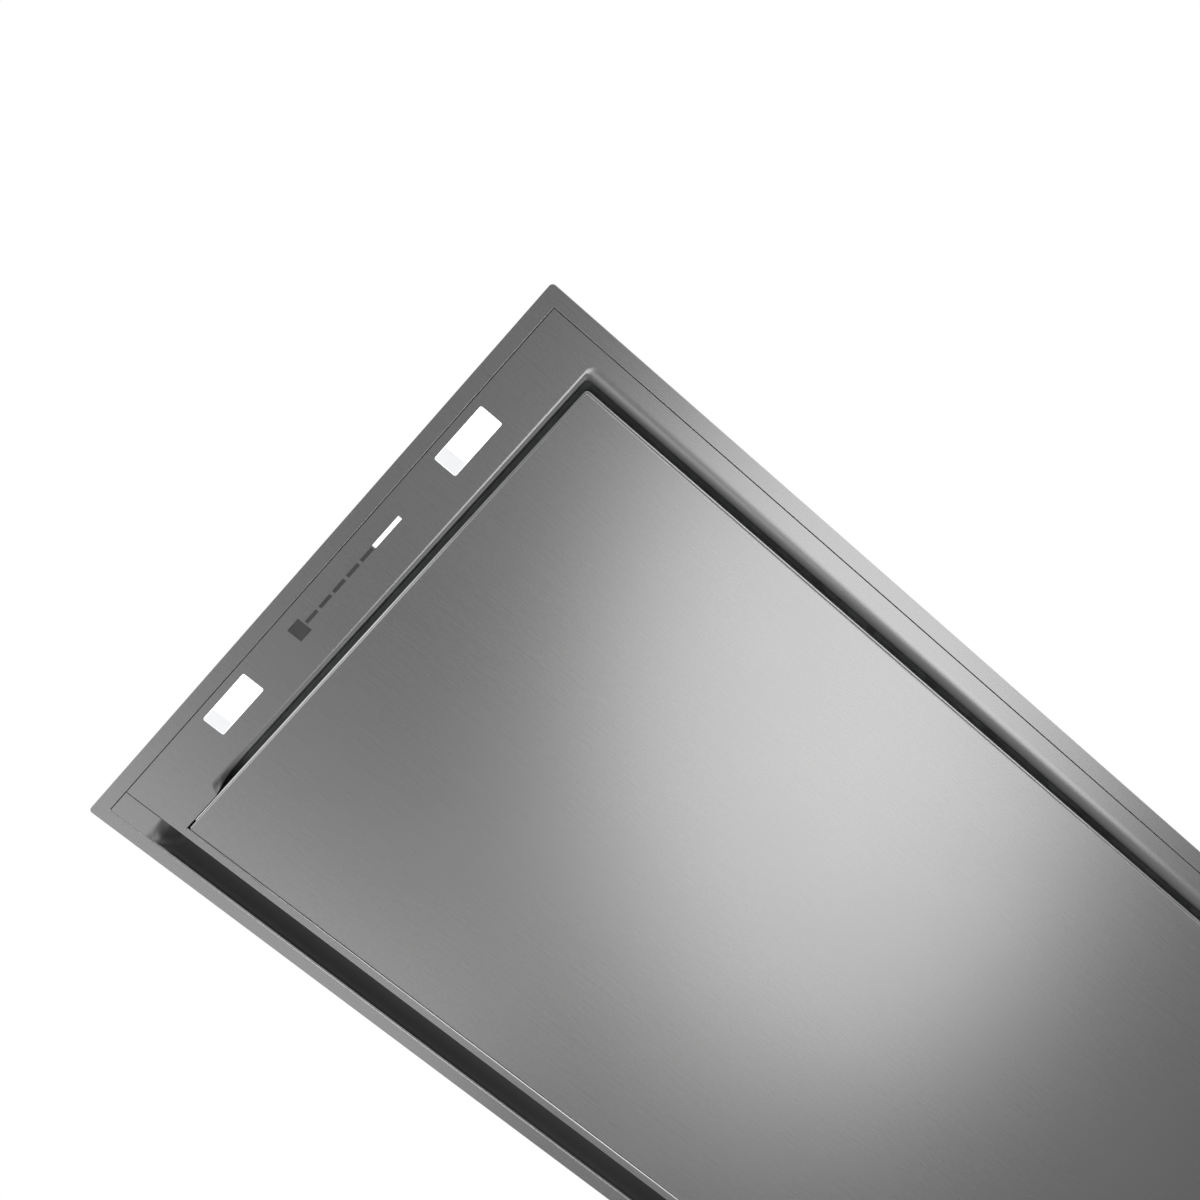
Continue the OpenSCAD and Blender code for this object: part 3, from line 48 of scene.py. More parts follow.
# ---------------------------------------------------------------- material helpers
class Tree:
    """A short way to write a node tree with one Principled shader."""

    def __init__(self, name):
        self.mat = bpy.data.materials.new(name)
        self.mat.use_nodes = True
        self.nt = self.mat.node_tree
        self.nt.nodes.clear()
        out = self.node("ShaderNodeOutputMaterial")
        self.bsdf = self.node("ShaderNodeBsdfPrincipled")
        self.link(self.bsdf.outputs[0], out.inputs[0])
        self.coord = self.node("ShaderNodeTexCoord").outputs["Object"]

    def node(self, kind, **values):
        n = self.nt.nodes.new(kind)
        for k, v in values.items():
            setattr(n, k, v)
        return n

    def link(self, a, b):
        self.nt.links.new(a, b)

    def scaled(self, x, y, z):
        m = self.node("ShaderNodeMapping")
        m.inputs["Scale"].default_value = (x, y, z)
        self.link(self.coord, m.inputs["Vector"])
        return m.outputs[0]

    def noise(self, scale, detail=2.0, rough=0.5, stretch=(1, 1, 1)):
        n = self.node("ShaderNodeTexNoise")
        n.inputs["Scale"].default_value = scale
        n.inputs["Detail"].default_value = detail
        n.inputs["Roughness"].default_value = rough
        self.link(self.scaled(*stretch), n.inputs["Vector"])
        return n.outputs["Fac"]

    def voronoi(self, scale, feature="F1", out="Distance"):
        n = self.node("ShaderNodeTexVoronoi", feature=feature)
        n.inputs["Scale"].default_value = scale
        self.link(self.scaled(1, 1, 1), n.inputs["Vector"])
        return n.outputs[out]

    def math(self, op, a, b=None):
        n = self.node("ShaderNodeMath", operation=op)
        for i, v in enumerate((a, b)):
            if v is None:
                continue
            if isinstance(v, (int, float)):
                n.inputs[i].default_value = v
            else:
                self.link(v, n.inputs[i])
        return n.outputs[0]

    def spread(self, value, lo, hi, from_lo=0.3, from_hi=0.7):
        """Value from from_lo to from_hi becomes lo to hi; noise lies mostly from 0.3 to 0.7."""
        n = self.node("ShaderNodeMapRange")
        self.link(value, n.inputs["Value"])
        n.inputs["From Min"].default_value = from_lo
        n.inputs["From Max"].default_value = from_hi
        n.inputs["To Min"].default_value = lo
        n.inputs["To Max"].default_value = hi
        return n.outputs[0]

    def mix(self, factor, a, b):
        n = self.node("ShaderNodeMix", data_type="RGBA")
        self.link(factor, n.inputs["Factor"])
        for name, v in (("A", a), ("B", b)):
            s = [i for i in n.inputs if i.name == name and i.type == "RGBA"][0]
            if isinstance(v, tuple):
                s.default_value = v + (1,)
            else:
                self.link(v, s)
        return [o for o in n.outputs if o.type == "RGBA"][0]

    def bump(self, *layers):
        """Layers of (height, strength, distance); each goes on top of the one before."""
        normal = None
        for height, strength, distance in layers:
            n = self.node("ShaderNodeBump")
            n.inputs["Strength"].default_value = strength
            n.inputs["Distance"].default_value = distance
            self.link(height, n.inputs["Height"])
            if normal is not None:
                self.link(normal, n.inputs["Normal"])
            normal = n.outputs[0]
        self.link(normal, self.bsdf.inputs["Normal"])

    def set(self, **values):
        """Sets sockets of the Principled shader, named with _ for each space."""
        for k, v in values.items():
            s = self.bsdf.inputs[k.replace("_", " ")]
            if isinstance(v, (int, float, tuple)):
                s.default_value = v + (1,) if isinstance(v, tuple) else v
            else:
                self.link(v, s)


def grey(v, tint=(1.0, 1.0, 1.0)):
    return (v * tint[0], v * tint[1], v * tint[2])


STEEL_TINT = (1.0, 1.0, 0.999)
LIP_END_SHADE_ACROSS = (0.5250, 0.5300)  # painted shade at the lip's ends: from full to none along X, in metres,
LIP_END_SHADE_SETS_IN = (0.180, 0.225)   # from none to full painted shade along Y,
LIP_END_SHADE_FADES = (0.2385, 0.2490)   # and from full to none again


# ---------------------------------------------------------------- materials
def brushed_steel(name="face_steel_brushed", dark=None, low=0.0, high=0.0, ends=None,
                  shade_lip_ends=False):
    """Stainless sheet with a fine grain along X, soft smears and a few longer scratches.

    Where the sheet is drawn inwards, its colour is painted darker as painted shade, and it is
    also rougher; dark is the painted tone there. The painted shade sets in from height low to
    height high, and with ends it fades out along X between those two distances from the middle,
    all in metres. With shade_lip_ends the painted shade also covers the far ends of the lip over
    nearly their whole width.
    """
    t = Tree(name)
    fine = t.noise(1.0, 3.0, 0.65, (22, 2600, 2600))
    long = t.noise(1.0, 2.0, 0.6, (7, 1300, 1300))
    cloud = t.noise(3.2, 3.0, 0.5, (1, 1.6, 1.6))
    scratch = t.noise(1.0, 1.0, 0.5, (14, 3600, 3600))
    grain = t.math("ADD", t.math("MULTIPLY", fine, 0.7), t.math("MULTIPLY", long, 0.3))
    tone = t.mix(t.spread(grain, 0.0, 1.0), grey(0.488, STEEL_TINT), grey(0.512, STEEL_TINT))
    worn = t.math("GREATER_THAN", scratch, 0.745)
    tone = t.mix(t.math("MULTIPLY", worn, 0.08), tone, grey(0.58, STEEL_TINT))
    rough = t.math("ADD", t.spread(grain, 0.262, 0.292), t.spread(cloud, -0.008, 0.010))
    # Painted shade: the colour darkens where the sheet is drawn inwards, and the sheet gets
    # rougher there.
    if dark:
        sep = t.node("ShaderNodeSeparateXYZ")
        t.link(t.coord, sep.inputs[0])
        x, y, z = sep.outputs
        shade_by_depth = t.spread(z, 0.0, 1.0, low, high)
        if ends:
            shade_by_depth = t.math("MULTIPLY", shade_by_depth, t.spread(t.math("ABSOLUTE", x), 1.0, 0.0, *ends))
        if shade_lip_ends:
            # More painted shade, over the far ends of the lip.
            across = t.spread(t.math("ABSOLUTE", x), 0.95, 0.0, *LIP_END_SHADE_ACROSS)
            along = t.math("MULTIPLY", t.spread(y, 0.0, 1.0, *LIP_END_SHADE_SETS_IN),
                           t.spread(y, 1.0, 0.0, *LIP_END_SHADE_FADES))
            shade_by_depth = t.math("MAXIMUM", shade_by_depth, t.math("MULTIPLY", across, along))
        # The painted shade's tone, varied by the cloud.
        dull = t.mix(t.spread(cloud, 0.0, 1.0), grey(0.87 * dark, STEEL_TINT),
                     grey(1.13 * dark, STEEL_TINT))
        tone = t.mix(shade_by_depth, tone, dull)
        rough = t.math("ADD", rough, t.math("MULTIPLY", shade_by_depth, 0.08))
    t.set(Base_Color=tone, Metallic=1.0, Anisotropic=0.35, Roughness=rough)
    tangent = t.node("ShaderNodeTangent", direction_type="RADIAL", axis="X")
    t.link(tangent.outputs[0], t.bsdf.inputs["Tangent"])
    t.bump((long, 0.006, 0.0001), (fine, 0.018, 0.0001))
    return t.mat


def galvanised():
    """Zinc-coated sheet: soft spangle, small dull spots and a light roll grain."""
    t = Tree("sheet_steel_galvanised")
    cells = t.voronoi(70, "F1", "Color")
    sep = t.node("ShaderNodeSeparateColor")
    t.link(cells, sep.inputs[0])
    spangle = sep.outputs[0]
    cloud = t.noise(9, 4.0, 0.6)
    spots = t.noise(150, 2.0, 0.6)
    roll = t.noise(1.0, 2.0, 0.6, (12, 700, 12))
    tone = t.mix(spangle, (0.50, 0.515, 0.53), (0.60, 0.615, 0.63))
    tone = t.mix(t.spread(cloud, 0.0, 0.5), tone, (0.47, 0.475, 0.48))
    rough = t.math("ADD", t.spread(spangle, 0.36, 0.50, 0.0, 1.0), t.spread(spots, -0.02, 0.06))
    t.set(Base_Color=tone, Metallic=1.0, Roughness=rough)
    t.bump((roll, 0.05, 0.0002), (spots, 0.06, 0.0002))
    return t.mat


def zinc_fastener():
    """Bright zinc plating with a faint yellow-blue cast and turned marks."""
    t = Tree("fasteners_zinc")
    fine = t.noise(900, 2.0, 0.6)
    broad = t.noise(120, 3.0, 0.6)
    tone = t.mix(t.spread(broad, 0.0, 1.0), (0.60, 0.63, 0.68), (0.70, 0.69, 0.62))
    t.set(Base_Color=tone, Metallic=1.0, Roughness=t.spread(fine, 0.22, 0.36))
    t.bump((fine, 0.08, 0.0001))
    return t.mat


def aluminium():
    """Drawn aluminium, matt, with faint draw lines along Y."""
    t = Tree("aluminium_drawn")
    draw = t.noise(1.0, 3.0, 0.6, (1100, 10, 1100))
    cloud = t.noise(22, 3.0, 0.55)
    tone = t.mix(t.spread(draw, 0.0, 1.0), (0.66, 0.665, 0.67), (0.76, 0.765, 0.77))
    t.set(Base_Color=tone, Metallic=1.0)
    t.set(Roughness=t.math("ADD", t.spread(draw, 0.34, 0.44), t.spread(cloud, -0.02, 0.05)))
    t.bump((draw, 0.08, 0.0001))
    return t.mat


MESH_LONG = 0.0056   # one opening of the mesh along Y, in metres
MESH_SHORT = 0.0030  # one opening along its folds


def expanded_mesh():
    """Folded sheet of expanded aluminium: bright strands round diamond openings, which are not
    cut but painted near black as painted shade.
    """
    t = Tree("filter_mesh_expanded")
    sep = t.node("ShaderNodeSeparateXYZ")
    t.link(t.coord, sep.inputs[0])
    x, y, z = sep.outputs
    u = t.math("MULTIPLY", t.math("ADD", x, z), 2 * math.pi / MESH_SHORT)
    v = t.math("MULTIPLY", y, 2 * math.pi / MESH_LONG)
    a = t.math("SINE", t.math("ADD", u, v))
    b = t.math("SINE", t.math("SUBTRACT", u, v))
    strand = t.math("MAXIMUM", t.math("ABSOLUTE", a), t.math("ABSOLUTE", b))
    # Painted shade: the openings are coloured near black, and made rough and less metallic.
    painted_openings = t.spread(strand, 1.0, 0.0, 0.55, 0.80)
    worn = t.noise(60, 3.0, 0.6)
    strand_tone = t.mix(t.spread(worn, 0.0, 1.0), (0.58, 0.585, 0.59), (0.72, 0.725, 0.73))
    t.set(Base_Color=t.mix(painted_openings, strand_tone, (0.035, 0.036, 0.038)))
    t.set(Metallic=t.math("SUBTRACT", 1.0, t.math("MULTIPLY", painted_openings, 0.7)))
    t.set(Roughness=t.math("ADD", t.spread(worn, 0.30, 0.42), t.math("MULTIPLY", painted_openings, 0.35)))
    t.bump((strand, 0.5, 0.0004))
    return t.mat


def moulded(name, low, high, rough, grain=420, depth=0.0001, strength=0.25):
    """Moulded plastic with a fine spark-eroded grain and slightly polished high spots."""
    t = Tree(name)
    fine = t.voronoi(grain, "SMOOTH_F1")
    broad = t.noise(30, 3.0, 0.55)
    tone = t.mix(t.spread(broad, 0.0, 1.0), low, high)
    t.set(Base_Color=tone, Specular_IOR_Level=0.45)
    t.set(Roughness=t.math("ADD", t.spread(fine, rough - 0.04, rough + 0.06, 0.0, 1.0),
                           t.spread(broad, -0.03, 0.03)))
    t.bump((fine, strength, depth))
    return t.mat


def light_guide():
    """Grey translucent light guides of the touch row, satin, with a soft rim."""
    t = Tree("control_dark_guide")
    fine = t.noise(1400, 2.0, 0.5)
    broad = t.noise(45, 2.0, 0.5)
    tone = t.mix(t.spread(broad, 0.0, 1.0), (0.122, 0.123, 0.126), (0.146, 0.147, 0.150))
    t.set(Base_Color=tone, Specular_IOR_Level=0.5, Coat_Weight=0.15)
    t.set(Roughness=t.spread(fine, 0.30, 0.40))
    t.bump((fine, 0.04, 0.0001))
    return t.mat


def diffuser(strength):
    """Lit opal diffuser with a fine prismatic texture."""
    t = Tree("diffuser_opal_%d" % round(strength * 10))
    prism = t.voronoi(650, "F1")
    broad = t.noise(60, 2.0, 0.5)
    glow = t.mix(t.spread(prism, 0.0, 1.0, 0.0, 0.6), (1.0, 1.0, 1.0), (0.94, 0.955, 0.98))
    t.set(Base_Color=(0.9, 0.91, 0.92), Roughness=t.spread(broad, 0.30, 0.42))
    t.set(Emission_Color=glow, Emission_Strength=strength)
    t.bump((prism, 0.15, 0.0002))
    return t.mat


def circuit_board():
    """Green solder mask over tracks, with a few bright pads."""
    t = Tree("circuit_board_mask")
    track = t.voronoi(170, "DISTANCE_TO_EDGE")
    pads = t.voronoi(330, "F1")
    line = t.spread(track, 1.0, 0.0, 0.03, 0.07)
    tone = t.mix(line, (0.010, 0.070, 0.028), (0.022, 0.120, 0.050))
    pad = t.math("LESS_THAN", pads, 0.16)
    t.set(Base_Color=t.mix(pad, tone, (0.62, 0.60, 0.52)), Metallic=t.math("MULTIPLY", pad, 0.9))
    t.set(Roughness=t.spread(track, 0.28, 0.40, 0.0, 0.3), Coat_Weight=0.2)
    t.bump((line, 0.2, 0.0001))
    return t.mat


def cast_motor():
    """Pressed and varnished motor shells: dull metal with fine spots and heat tint."""
    t = Tree("motor_metal_shell")
    fine = t.noise(480, 3.0, 0.65)
    broad = t.noise(26, 3.0, 0.5)
    tone = t.mix(t.spread(broad, 0.0, 1.0), (0.30, 0.305, 0.315), (0.40, 0.40, 0.395))
    t.set(Base_Color=tone, Metallic=0.9)
    t.set(Roughness=t.math("ADD", t.spread(fine, 0.36, 0.50), t.spread(broad, -0.03, 0.04)))
    t.bump((fine, 0.18, 0.0002))
    return t.mat


def polished_edge_painted_highlight():
    """Rolled and polished sheet edges with a light draw grain, their colour painted lighter than
    the face's as a painted highlight.
    """
    t = Tree("face_steel_edge_painted_highlight")
    draw = t.noise(1.0, 2.0, 0.6, (30, 30, 900))
    cloud = t.noise(24, 3.0, 0.5)
    # Painted highlight: a much lighter steel than the face's, so that the edges show as bright
    # lines.
    tone = t.mix(t.spread(draw, 0.0, 1.0), grey(0.80), grey(0.88))
    t.set(Base_Color=tone, Metallic=1.0)
    t.set(Roughness=t.math("ADD", t.spread(draw, 0.16, 0.23), t.spread(cloud, -0.015, 0.02)))
    t.bump((draw, 0.05, 0.0001))
    return t.mat


def diffuser_rim():
    """Unlit rim of the opal diffuser: the same plastic, glowing only from inside."""
    t = Tree("diffuser_opal_rim")
    prism = t.voronoi(650, "F1")
    broad = t.noise(60, 2.0, 0.5)
    glow = t.mix(t.spread(broad, 0.0, 1.0), (0.92, 0.93, 0.95), (0.97, 0.98, 1.0))
    t.set(Base_Color=(0.86, 0.87, 0.88), Roughness=t.spread(prism, 0.30, 0.42, 0.0, 0.6))
    t.set(Emission_Color=glow, Emission_Strength=0.60)
    t.bump((prism, 0.12, 0.0002))
    return t.mat


MATERIALS = {
    "face_steel": brushed_steel(),
    "sheet_steel": galvanised(),
    "fasteners": zinc_fastener(),
    "aluminium": aluminium(),
    "filter_mesh": expanded_mesh(),
    "black_plastic": moulded("black_plastic_grain", (0.020, 0.020, 0.021),
                             (0.032, 0.032, 0.034), 0.45),
    "control_dark": light_guide(),
    "diffuser": diffuser(1.35),
    "circuit_board": circuit_board(),
    "terminal_white": moulded("terminal_white_plastic", (0.70, 0.69, 0.65),
                              (0.78, 0.77, 0.73), 0.40),
    "motor_metal": cast_motor(),
    "rubber": moulded("rubber_matt", (0.018, 0.018, 0.018), (0.030, 0.029, 0.028), 0.72,
                      grain=260, depth=0.0002, strength=0.3),
}
for part in frame["record"]["subparts"]:
    solid = frame["nodes"][part["node"]].data
    solid.materials.clear()
    solid.materials.append(MATERIALS[part["material_slot"]])


# ---------------------------------------------------------------- pieces, in millimetres
FACE_Z = -2.0
PANEL_X = 515.3
HINGE_END = 287.0  # the panel's free sides end here, before its hinge side
BEND_X, BEND_NEAR, BEND_R = 529.0, -321.0, 9.0  # where the lip leaves the flat caps and border
FOOT_X, FOOT_NEAR, FOOT_R = 521.3, -304.5, 4.0  # the lip's inner line, which is also the solid's
LIP_FADE = (249.7, 225.7, 189.7)  # the lip starts, has its full depth, and goes on straight
LIP_DEPTH = 16.0
LIP_STEEP = 14.0  # depth at which the steep part ends
LIP_BOW = 5.0  # rise of the bow over the lip's whole width
LIP_TURN = 0.93  # share of the lip's width where its bow turns into the steep part
COVE_TOP = 24.0  # height of the cove over the face
COVE_ENDS = (546.0, 508.0)  # the cove of the far strip starts, and has its full height
STRIP_END = 584.3
SHEET = 1.0  # thickness of the strip

EDGE = polished_edge_painted_highlight()
RIM = diffuser_rim()
# Painted shade: the trough's steel turns darker with depth, fading out towards its ends.
TROUGH = brushed_steel("face_steel_trough_painted_shade", 0.10, -0.00199, -0.0012, ends=(0.528, 0.549))
# Painted shade: the lip's steel turns darker with depth and over its far ends.
LIP = brushed_steel("face_steel_lip_painted_shade", 0.15, -0.0012, 0.0022, shade_lip_ends=True)


def smooth(s):
    return s * s * (3 - 2 * s)


def blend(a, b, s):
    return a + (b - a) * s


def skin(name, rings, body, material, loop=False, tube=False, replaces=None):
    """A smooth sheet through rings of points, all of one length.

    With loop the last ring joins the first. A tube has closed rings and capped ends.
    """
    n = len(rings[0])
    m = len(rings)
    faces = []
    for i in range(m if loop else m - 1):
        for j in range(n if tube else n - 1):
            a, b, after = i * n, (i + 1) % m * n, (j + 1) % n
            faces.append((a + j, b + j, b + after, a + after))
    if tube:
        faces += [tuple(range(n))[::-1], tuple((m - 1) * n + j for j in range(n))]
    mesh = bpy.data.meshes.new(name)
    mesh.from_pydata([[v * MM for v in p] for ring in rings for p in ring], [], faces)
    mesh.update()
    if tube:
        turned = bmesh.new()
        turned.from_mesh(mesh)
        bmesh.ops.recalc_face_normals(turned, faces=turned.faces)
        turned.to_mesh(mesh)
        turned.free()
    elif sum(f.normal.z * f.area for f in mesh.polygons) > 0:
        mesh.flip_normals()
    mesh.shade_smooth()
    mesh.set_sharp_from_angle(angle=math.radians(38))
    mesh.materials.append(material)
    obj = bpy.data.objects.new(name, mesh)
    scene.collection.objects.link(obj)
    if replaces:
        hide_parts(replaces)
    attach(obj, body)


def corner(x, y, r, a):
    """A point on the rounded left near corner, a from 0 on the left side to 90 degrees."""
    return (-x + r - r * math.cos(a), y + r - r * math.sin(a))


def lip():
    """The rounded lip round the recess: the solid's line of foot, with a gentler bow."""
    start, full, straight = LIP_FADE
    half = []
    for i in range(9):
        s = i / 8
        y = blend(start, full, s)
        half.append(((-blend(518.9, BEND_X, smooth(min(1.0, s / 0.4))), y),
                     (-blend(517.7, FOOT_X, smooth(s)), y), blend(0.05, 1.0, smooth(s))))
    for i in range(1, 7):
        y = blend(full, straight, i / 6)
        half.append(((-BEND_X, y), (-FOOT_X, y), 1.0))
    for i in range(7):
        a = math.radians(15 * i)
        half.append((corner(BEND_X, BEND_NEAR, BEND_R, a),
                     corner(FOOT_X, FOOT_NEAR, FOOT_R, a), 1.0))
    stations = half + [((-b[0], b[1]), (-f[0], f[1]), s) for b, f, s in reversed(half)]
    rings = []
    for bend, foot, share in stations:
        run = Vector(foot) - Vector(bend)
        length = run.length
        d = run / length
        bow = LIP_BOW * max(0.02, smooth(min(1.0, (start - foot[1]) / 32.0)))
        ring = []
        for i in range(19):
            u = LIP_TURN * i / 18
            ring.append((u, bow * u * u))
        for i in range(1, 9):
            a = math.radians(90 * i / 8)
            u = LIP_TURN + (1 - LIP_TURN) * math.sin(a)
            z = bow * LIP_TURN * (LIP_TURN + 2 * (u - LIP_TURN))
            ring.append((u, z + (LIP_STEEP * share - z) * (1 - math.cos(a)) ** 1.5))
        ring.append((1.0, LIP_DEPTH * share))
        rings.append([(bend[0] + d[0] * length * u, bend[1] + d[1] * length * u, FACE_Z + z)
                      for u, z in ring])
    skin("lip_skin", rings, "hood", LIP)


def far_strip():
    """The strip along the far side with its cove, its wall and its rolled outer edge."""
    out, full = COVE_ENDS
    stations = [(STRIP_END, 0.0)]
    stations += [(blend(out, full, i / 32), smooth(i / 32) ** 1.2) for i in range(33)]
    stations += [(-x, share) for x, share in reversed(stations)]
    rings = []
    for x, share in stations:
        y0 = 333.8 - 0.5 * share
        run = y0 - 307.8
        low = []
        high = []
        for i in range(33):
            u = i / 32
            at = (y0 - run * u, FACE_Z + COVE_TOP * share * u ** 0.7)
            low.append(at)
            if i >= 8:
                n = Vector((COVE_TOP * share * 0.7 * u ** -0.3, run)).normalized()
                high.append((at[0] + n[0] * SHEET, at[1] + n[1] * SHEET))
        root = blend(FACE_Z + SHEET, high[0][1], share / 2)
        ring = low + high[::-1] + [(333.3, root), (333.3, 30.0), (334.3, 30.0), (334.3, 0.0)]
        ring += [(334.2 + math.cos(a), FACE_Z + 1.0 - math.sin(a))
                 for a in (-0.6, 0.0, 0.3, 0.6, 0.9, 1.2, math.pi / 2)]
        rings.append([(x, y, z) for y, z in ring])
    skin("far_strip_skin", rings, "hood", TROUGH, tube=True, replaces="far_strip")


def outline(x, y_near, y_far, r, steps=6):
    """Points of a rounded rectangle with their outward directions, counter-clockwise."""
    points = []
    for sx, sy, start in ((1, -1, -90), (1, 1, 0), (-1, 1, 90), (-1, -1, 180)):
        for i in range(steps + 1):
            a = math.radians(start + 90 * i / steps)
            cy = (y_far - r) if sy > 0 else (y_near + r)
            d = (math.cos(a), math.sin(a))
            points.append(((sx * (x - r) + r * d[0], cy + r * d[1]), d))
    return points


def swept(points, profile):
    """Rings of a profile of (outward, height) at points with their outward directions."""
    return [[(p[0] + d[0] * out, p[1] + d[1] * out, z) for out, z in profile] for p, d in points]


def panel_edge():
    """The panel's rounded edge, and the rolled rim behind it on its free sides."""
    points = outline(PANEL_X, -297.2, 297.7, 3.0)
    radius, proud = 1.4, 0.02
    arc = [math.radians(10 + 10 * i) for i in range(9)]
    profile = [((radius + proud) * math.sin(a) - radius,
                FACE_Z + radius - (radius + proud) * math.cos(a)) for a in arc]
    profile.append((proud, 1.0))
    skin("panel_edge_skin", swept(points, profile), "panel", EDGE, loop=True)
    near = [e for e in points if e[0][1] < 0]
    path = [((-PANEL_X, HINGE_END), (-1.0, 0.0))]
    path += [e for e in near if e[0][0] < 0] + [e for e in near if e[0][0] > 0]
    path.append(((PANEL_X, HINGE_END), (1.0, 0.0)))
    bead = [(0.0, 0.85), (0.75, 0.95), (1.15, 1.15), (1.38, 1.5), (1.32, 1.85), (1.0, 2.12),
            (0.5, 2.25), (0.0, 2.3)]
    skin("panel_rim", swept(path, bead), "panel", EDGE)


def throat_edge():
    """The rolled inner edge of the trim in the groove round the tray."""
    path = outline(585.5, -335.5, 335.5, 1.0, 4)
    profile = [(0.0, -1.99), (-0.22, -1.93), (-0.42, -1.78), (-0.53, -1.58), (-0.55, -1.35),
               (-0.55, 1.0)]
    skin("throat_edge", swept(path, profile), "hood", EDGE, loop=True)


def ledge_edge():
    """The rolled front edge of the far ledge, clear of the panel's swing."""
    profile = [(299.7, -1.99), (298.9, -1.98), (298.4, -1.85), (298.2, -1.6), (298.3, -1.3),
               (298.8, -1.0), (299.7, -0.9)]
    rings = [[(x, y, z) for y, z in profile] for x in (-516.9, 516.9)]
    skin("ledge_edge", rings, "hood", EDGE)


def lamp_ends():
    """The dim far end of each lamp window, where the light boards stop."""
    window, half_width, depth = 65.7, 11.9, 15.5
    front, low = -1.50, -1.44
    for i, x in enumerate((-563.65, 563.65)):
        for j, y in enumerate((-193.15, 158.55)):
            far = y + window / 2 - 0.3
            lines = ((half_width, depth, low), (half_width, depth - 0.5, front),
                     (half_width, 1.0, front), (half_width - 0.9, 0.0, front))
            rings = [[(x - w, far - back, z), (x + w, far - back, z)] for w, back, z in lines]
            skin("lamp_end_%d" % (2 * i + j + 1), rings, "hood", RIM)


lip()
far_strip()
panel_edge()
throat_edge()
ledge_edge()
lamp_ends()


# ---------------------------------------------------------------- camera
def camera():
    """The photograph's own angle, solved from its vanishing points."""
    data = bpy.data.cameras.new("photo_camera")
    data.lens = 52.98
    data.sensor_width = 36.0
    data.clip_start = 0.05
    data.clip_end = 60.0
    cam = bpy.data.objects.new("photo_camera", data)
    scene.collection.objects.link(cam)
    right = Vector((0.7511, -0.6562, 0.0735)).normalized()
    forward = Vector((0.2000, 0.3321, 0.9218)).normalized()
    up = right.cross(forward).normalized()
    cam.matrix_world = Matrix((
        (right.x, up.x, -forward.x, -0.6993),
        (right.y, up.y, -forward.y, -0.6907),
        (right.z, up.z, -forward.z, -1.4784),
        (0, 0, 0, 1),
    ))
    scene.camera = cam


camera()


# ---------------------------------------------------------------- floor, world and lamps
FLOOR_Z = -2.6
FLOOR_HALF = 45.0
PALE_FROM, PALE_TO, PALE = 4.0, 15.0, 0.60  # metres from the middle, and the glow reached there
WORLD_LIGHT = 0.20


def floor():
    """A plain floor below the hood, whose far part is pale to the camera, mirrors and glass."""
    mesh = bpy.data.meshes.new("studio_floor")
    r = FLOOR_HALF
    mesh.from_pydata([(-r, -r, FLOOR_Z), (r, -r, FLOOR_Z), (r, r, FLOOR_Z), (-r, r, FLOOR_Z)], [],
                     [(0, 1, 2, 3)])
    obj = bpy.data.objects.new("studio_floor", mesh)
    scene.collection.objects.link(obj)
    t = Tree("studio_floor_paint")
    broad = t.noise(1.3, 2.0, 0.5)
    t.set(Base_Color=t.mix(broad, grey(0.79), grey(0.81)), Roughness=0.9, Specular_IOR_Level=0.2)
    path = t.node("ShaderNodeLightPath").outputs
    seen = t.math("MAXIMUM", path["Is Camera Ray"], path["Is Glossy Ray"])
    seen = t.math("MAXIMUM", seen, path["Is Transmission Ray"])
    away = t.node("ShaderNodeVectorMath", operation="LENGTH")
    t.link(t.coord, away.inputs[0])
    pale = t.spread(away.outputs["Value"], 0.0, PALE, PALE_FROM, PALE_TO)
    t.set(Emission_Color=grey(1.0), Emission_Strength=t.math("MULTIPLY", seen, pale))
    mesh.materials.append(t.mat)


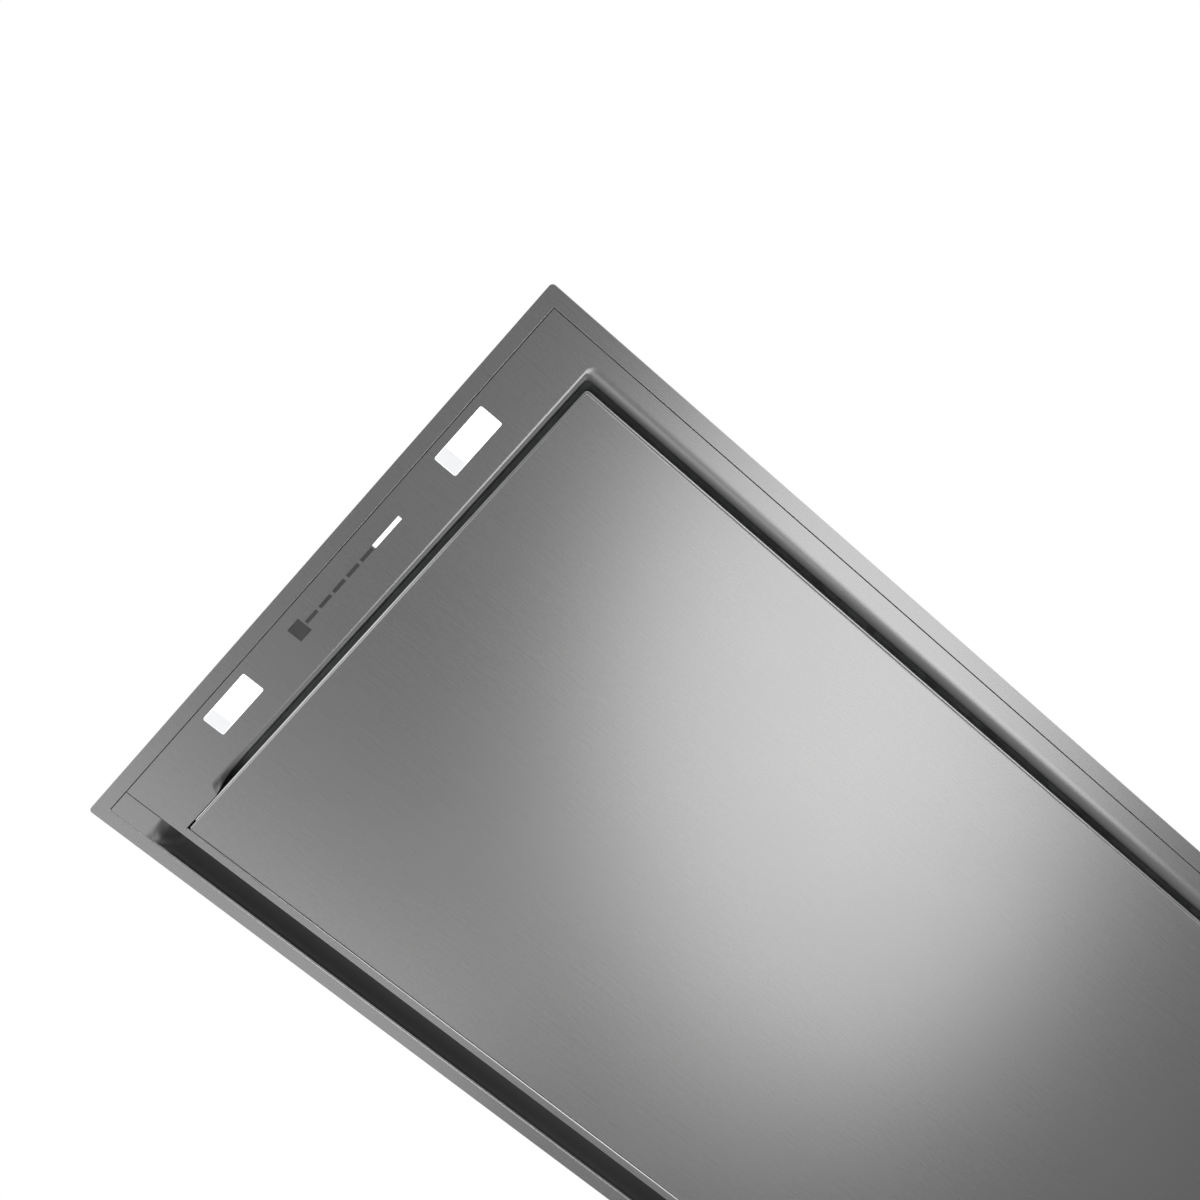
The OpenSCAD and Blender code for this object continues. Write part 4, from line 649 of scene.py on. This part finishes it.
def studio_world():
    """White to the camera, to mirrors and to glass, and a weak even light for all the rest."""
    world = bpy.data.worlds.new("studio_world")
    scene.world = world
    world.use_nodes = True
    nt = world.node_tree
    nt.nodes.clear()
    backgrounds = []
    for strength in (WORLD_LIGHT, 1.0):
        n = nt.nodes.new("ShaderNodeBackground")
        n.inputs["Color"].default_value = (1, 1, 1, 1)
        n.inputs["Strength"].default_value = strength
        backgrounds.append(n.outputs[0])
    path = nt.nodes.new("ShaderNodeLightPath").outputs
    seen = path["Is Camera Ray"]
    for ray in ("Is Glossy Ray", "Is Transmission Ray"):
        n = nt.nodes.new("ShaderNodeMath")
        n.operation = "MAXIMUM"
        nt.links.new(seen, n.inputs[0])
        nt.links.new(path[ray], n.inputs[1])
        seen = n.outputs[0]
    mixed = nt.nodes.new("ShaderNodeMixShader")
    for i, output in enumerate([seen] + backgrounds):
        nt.links.new(output, mixed.inputs[i])
    out = nt.nodes.new("ShaderNodeOutputWorld")
    nt.links.new(mixed.outputs[0], out.inputs[0])


def lamp(name, at, toward, size_x, size_y, radiance, turn=0.0, shape="RECTANGLE"):
    """A soft lamp whose surface has the given radiance, turned about its own axis."""
    data = bpy.data.lights.new(name, "AREA")
    data.shape = shape
    data.size = size_x
    data.size_y = size_y
    area = size_x * size_y * (math.pi / 4 if shape == "ELLIPSE" else 1)
    data.energy = radiance * area * math.pi
    obj = bpy.data.objects.new(name, data)
    scene.collection.objects.link(obj)
    aim = (Vector(toward) - Vector(at)).normalized().to_track_quat("-Z", "Y")
    obj.rotation_mode = "QUATERNION"
    obj.rotation_quaternion = aim @ Matrix.Rotation(turn, 3, "Z").to_quaternion()
    obj.location = at
    obj.visible_camera = False


floor()
studio_world()

# Four lamps lie just above the floor and shine straight up. The face mirrors them: the key
# gives the panel its bright patch, and the others light the borders and the rolled edges.
lamp("key_low", (0.86, 0.57, -2.54), (0.86, 0.57, 0.0), 2.15, 1.25, 1.3,
     turn=math.radians(-48), shape="ELLIPSE")
lamp("fill_far", (-0.5, 2.35, -2.50), (-0.5, 2.35, 0.0), 2.8, 0.8, 0.9)
lamp("edge_left", (-1.55, 1.75, -2.50), (-1.55, 1.75, 0.0), 1.5, 1.6, 0.85)
lamp("edge_near", (0.7, -1.15, -2.50), (0.7, -1.15, 0.0), 1.8, 0.8, 1.0)
# One stands low beside the near left corner.
lamp("side_low", (-3.4, -2.6, -2.0), (0.0, 0.0, 0.0), 2.4, 0.9, 1.6)
# Two lamps above show the parts that are hidden over the ceiling.
lamp("top_soft", (-1.6, -2.2, 2.6), (0.0, 0.0, 0.1), 2.2, 2.2, 0.9)
lamp("top_rim", (2.2, 1.6, 2.2), (0.0, 0.0, 0.1), 1.4, 1.4, 0.8)
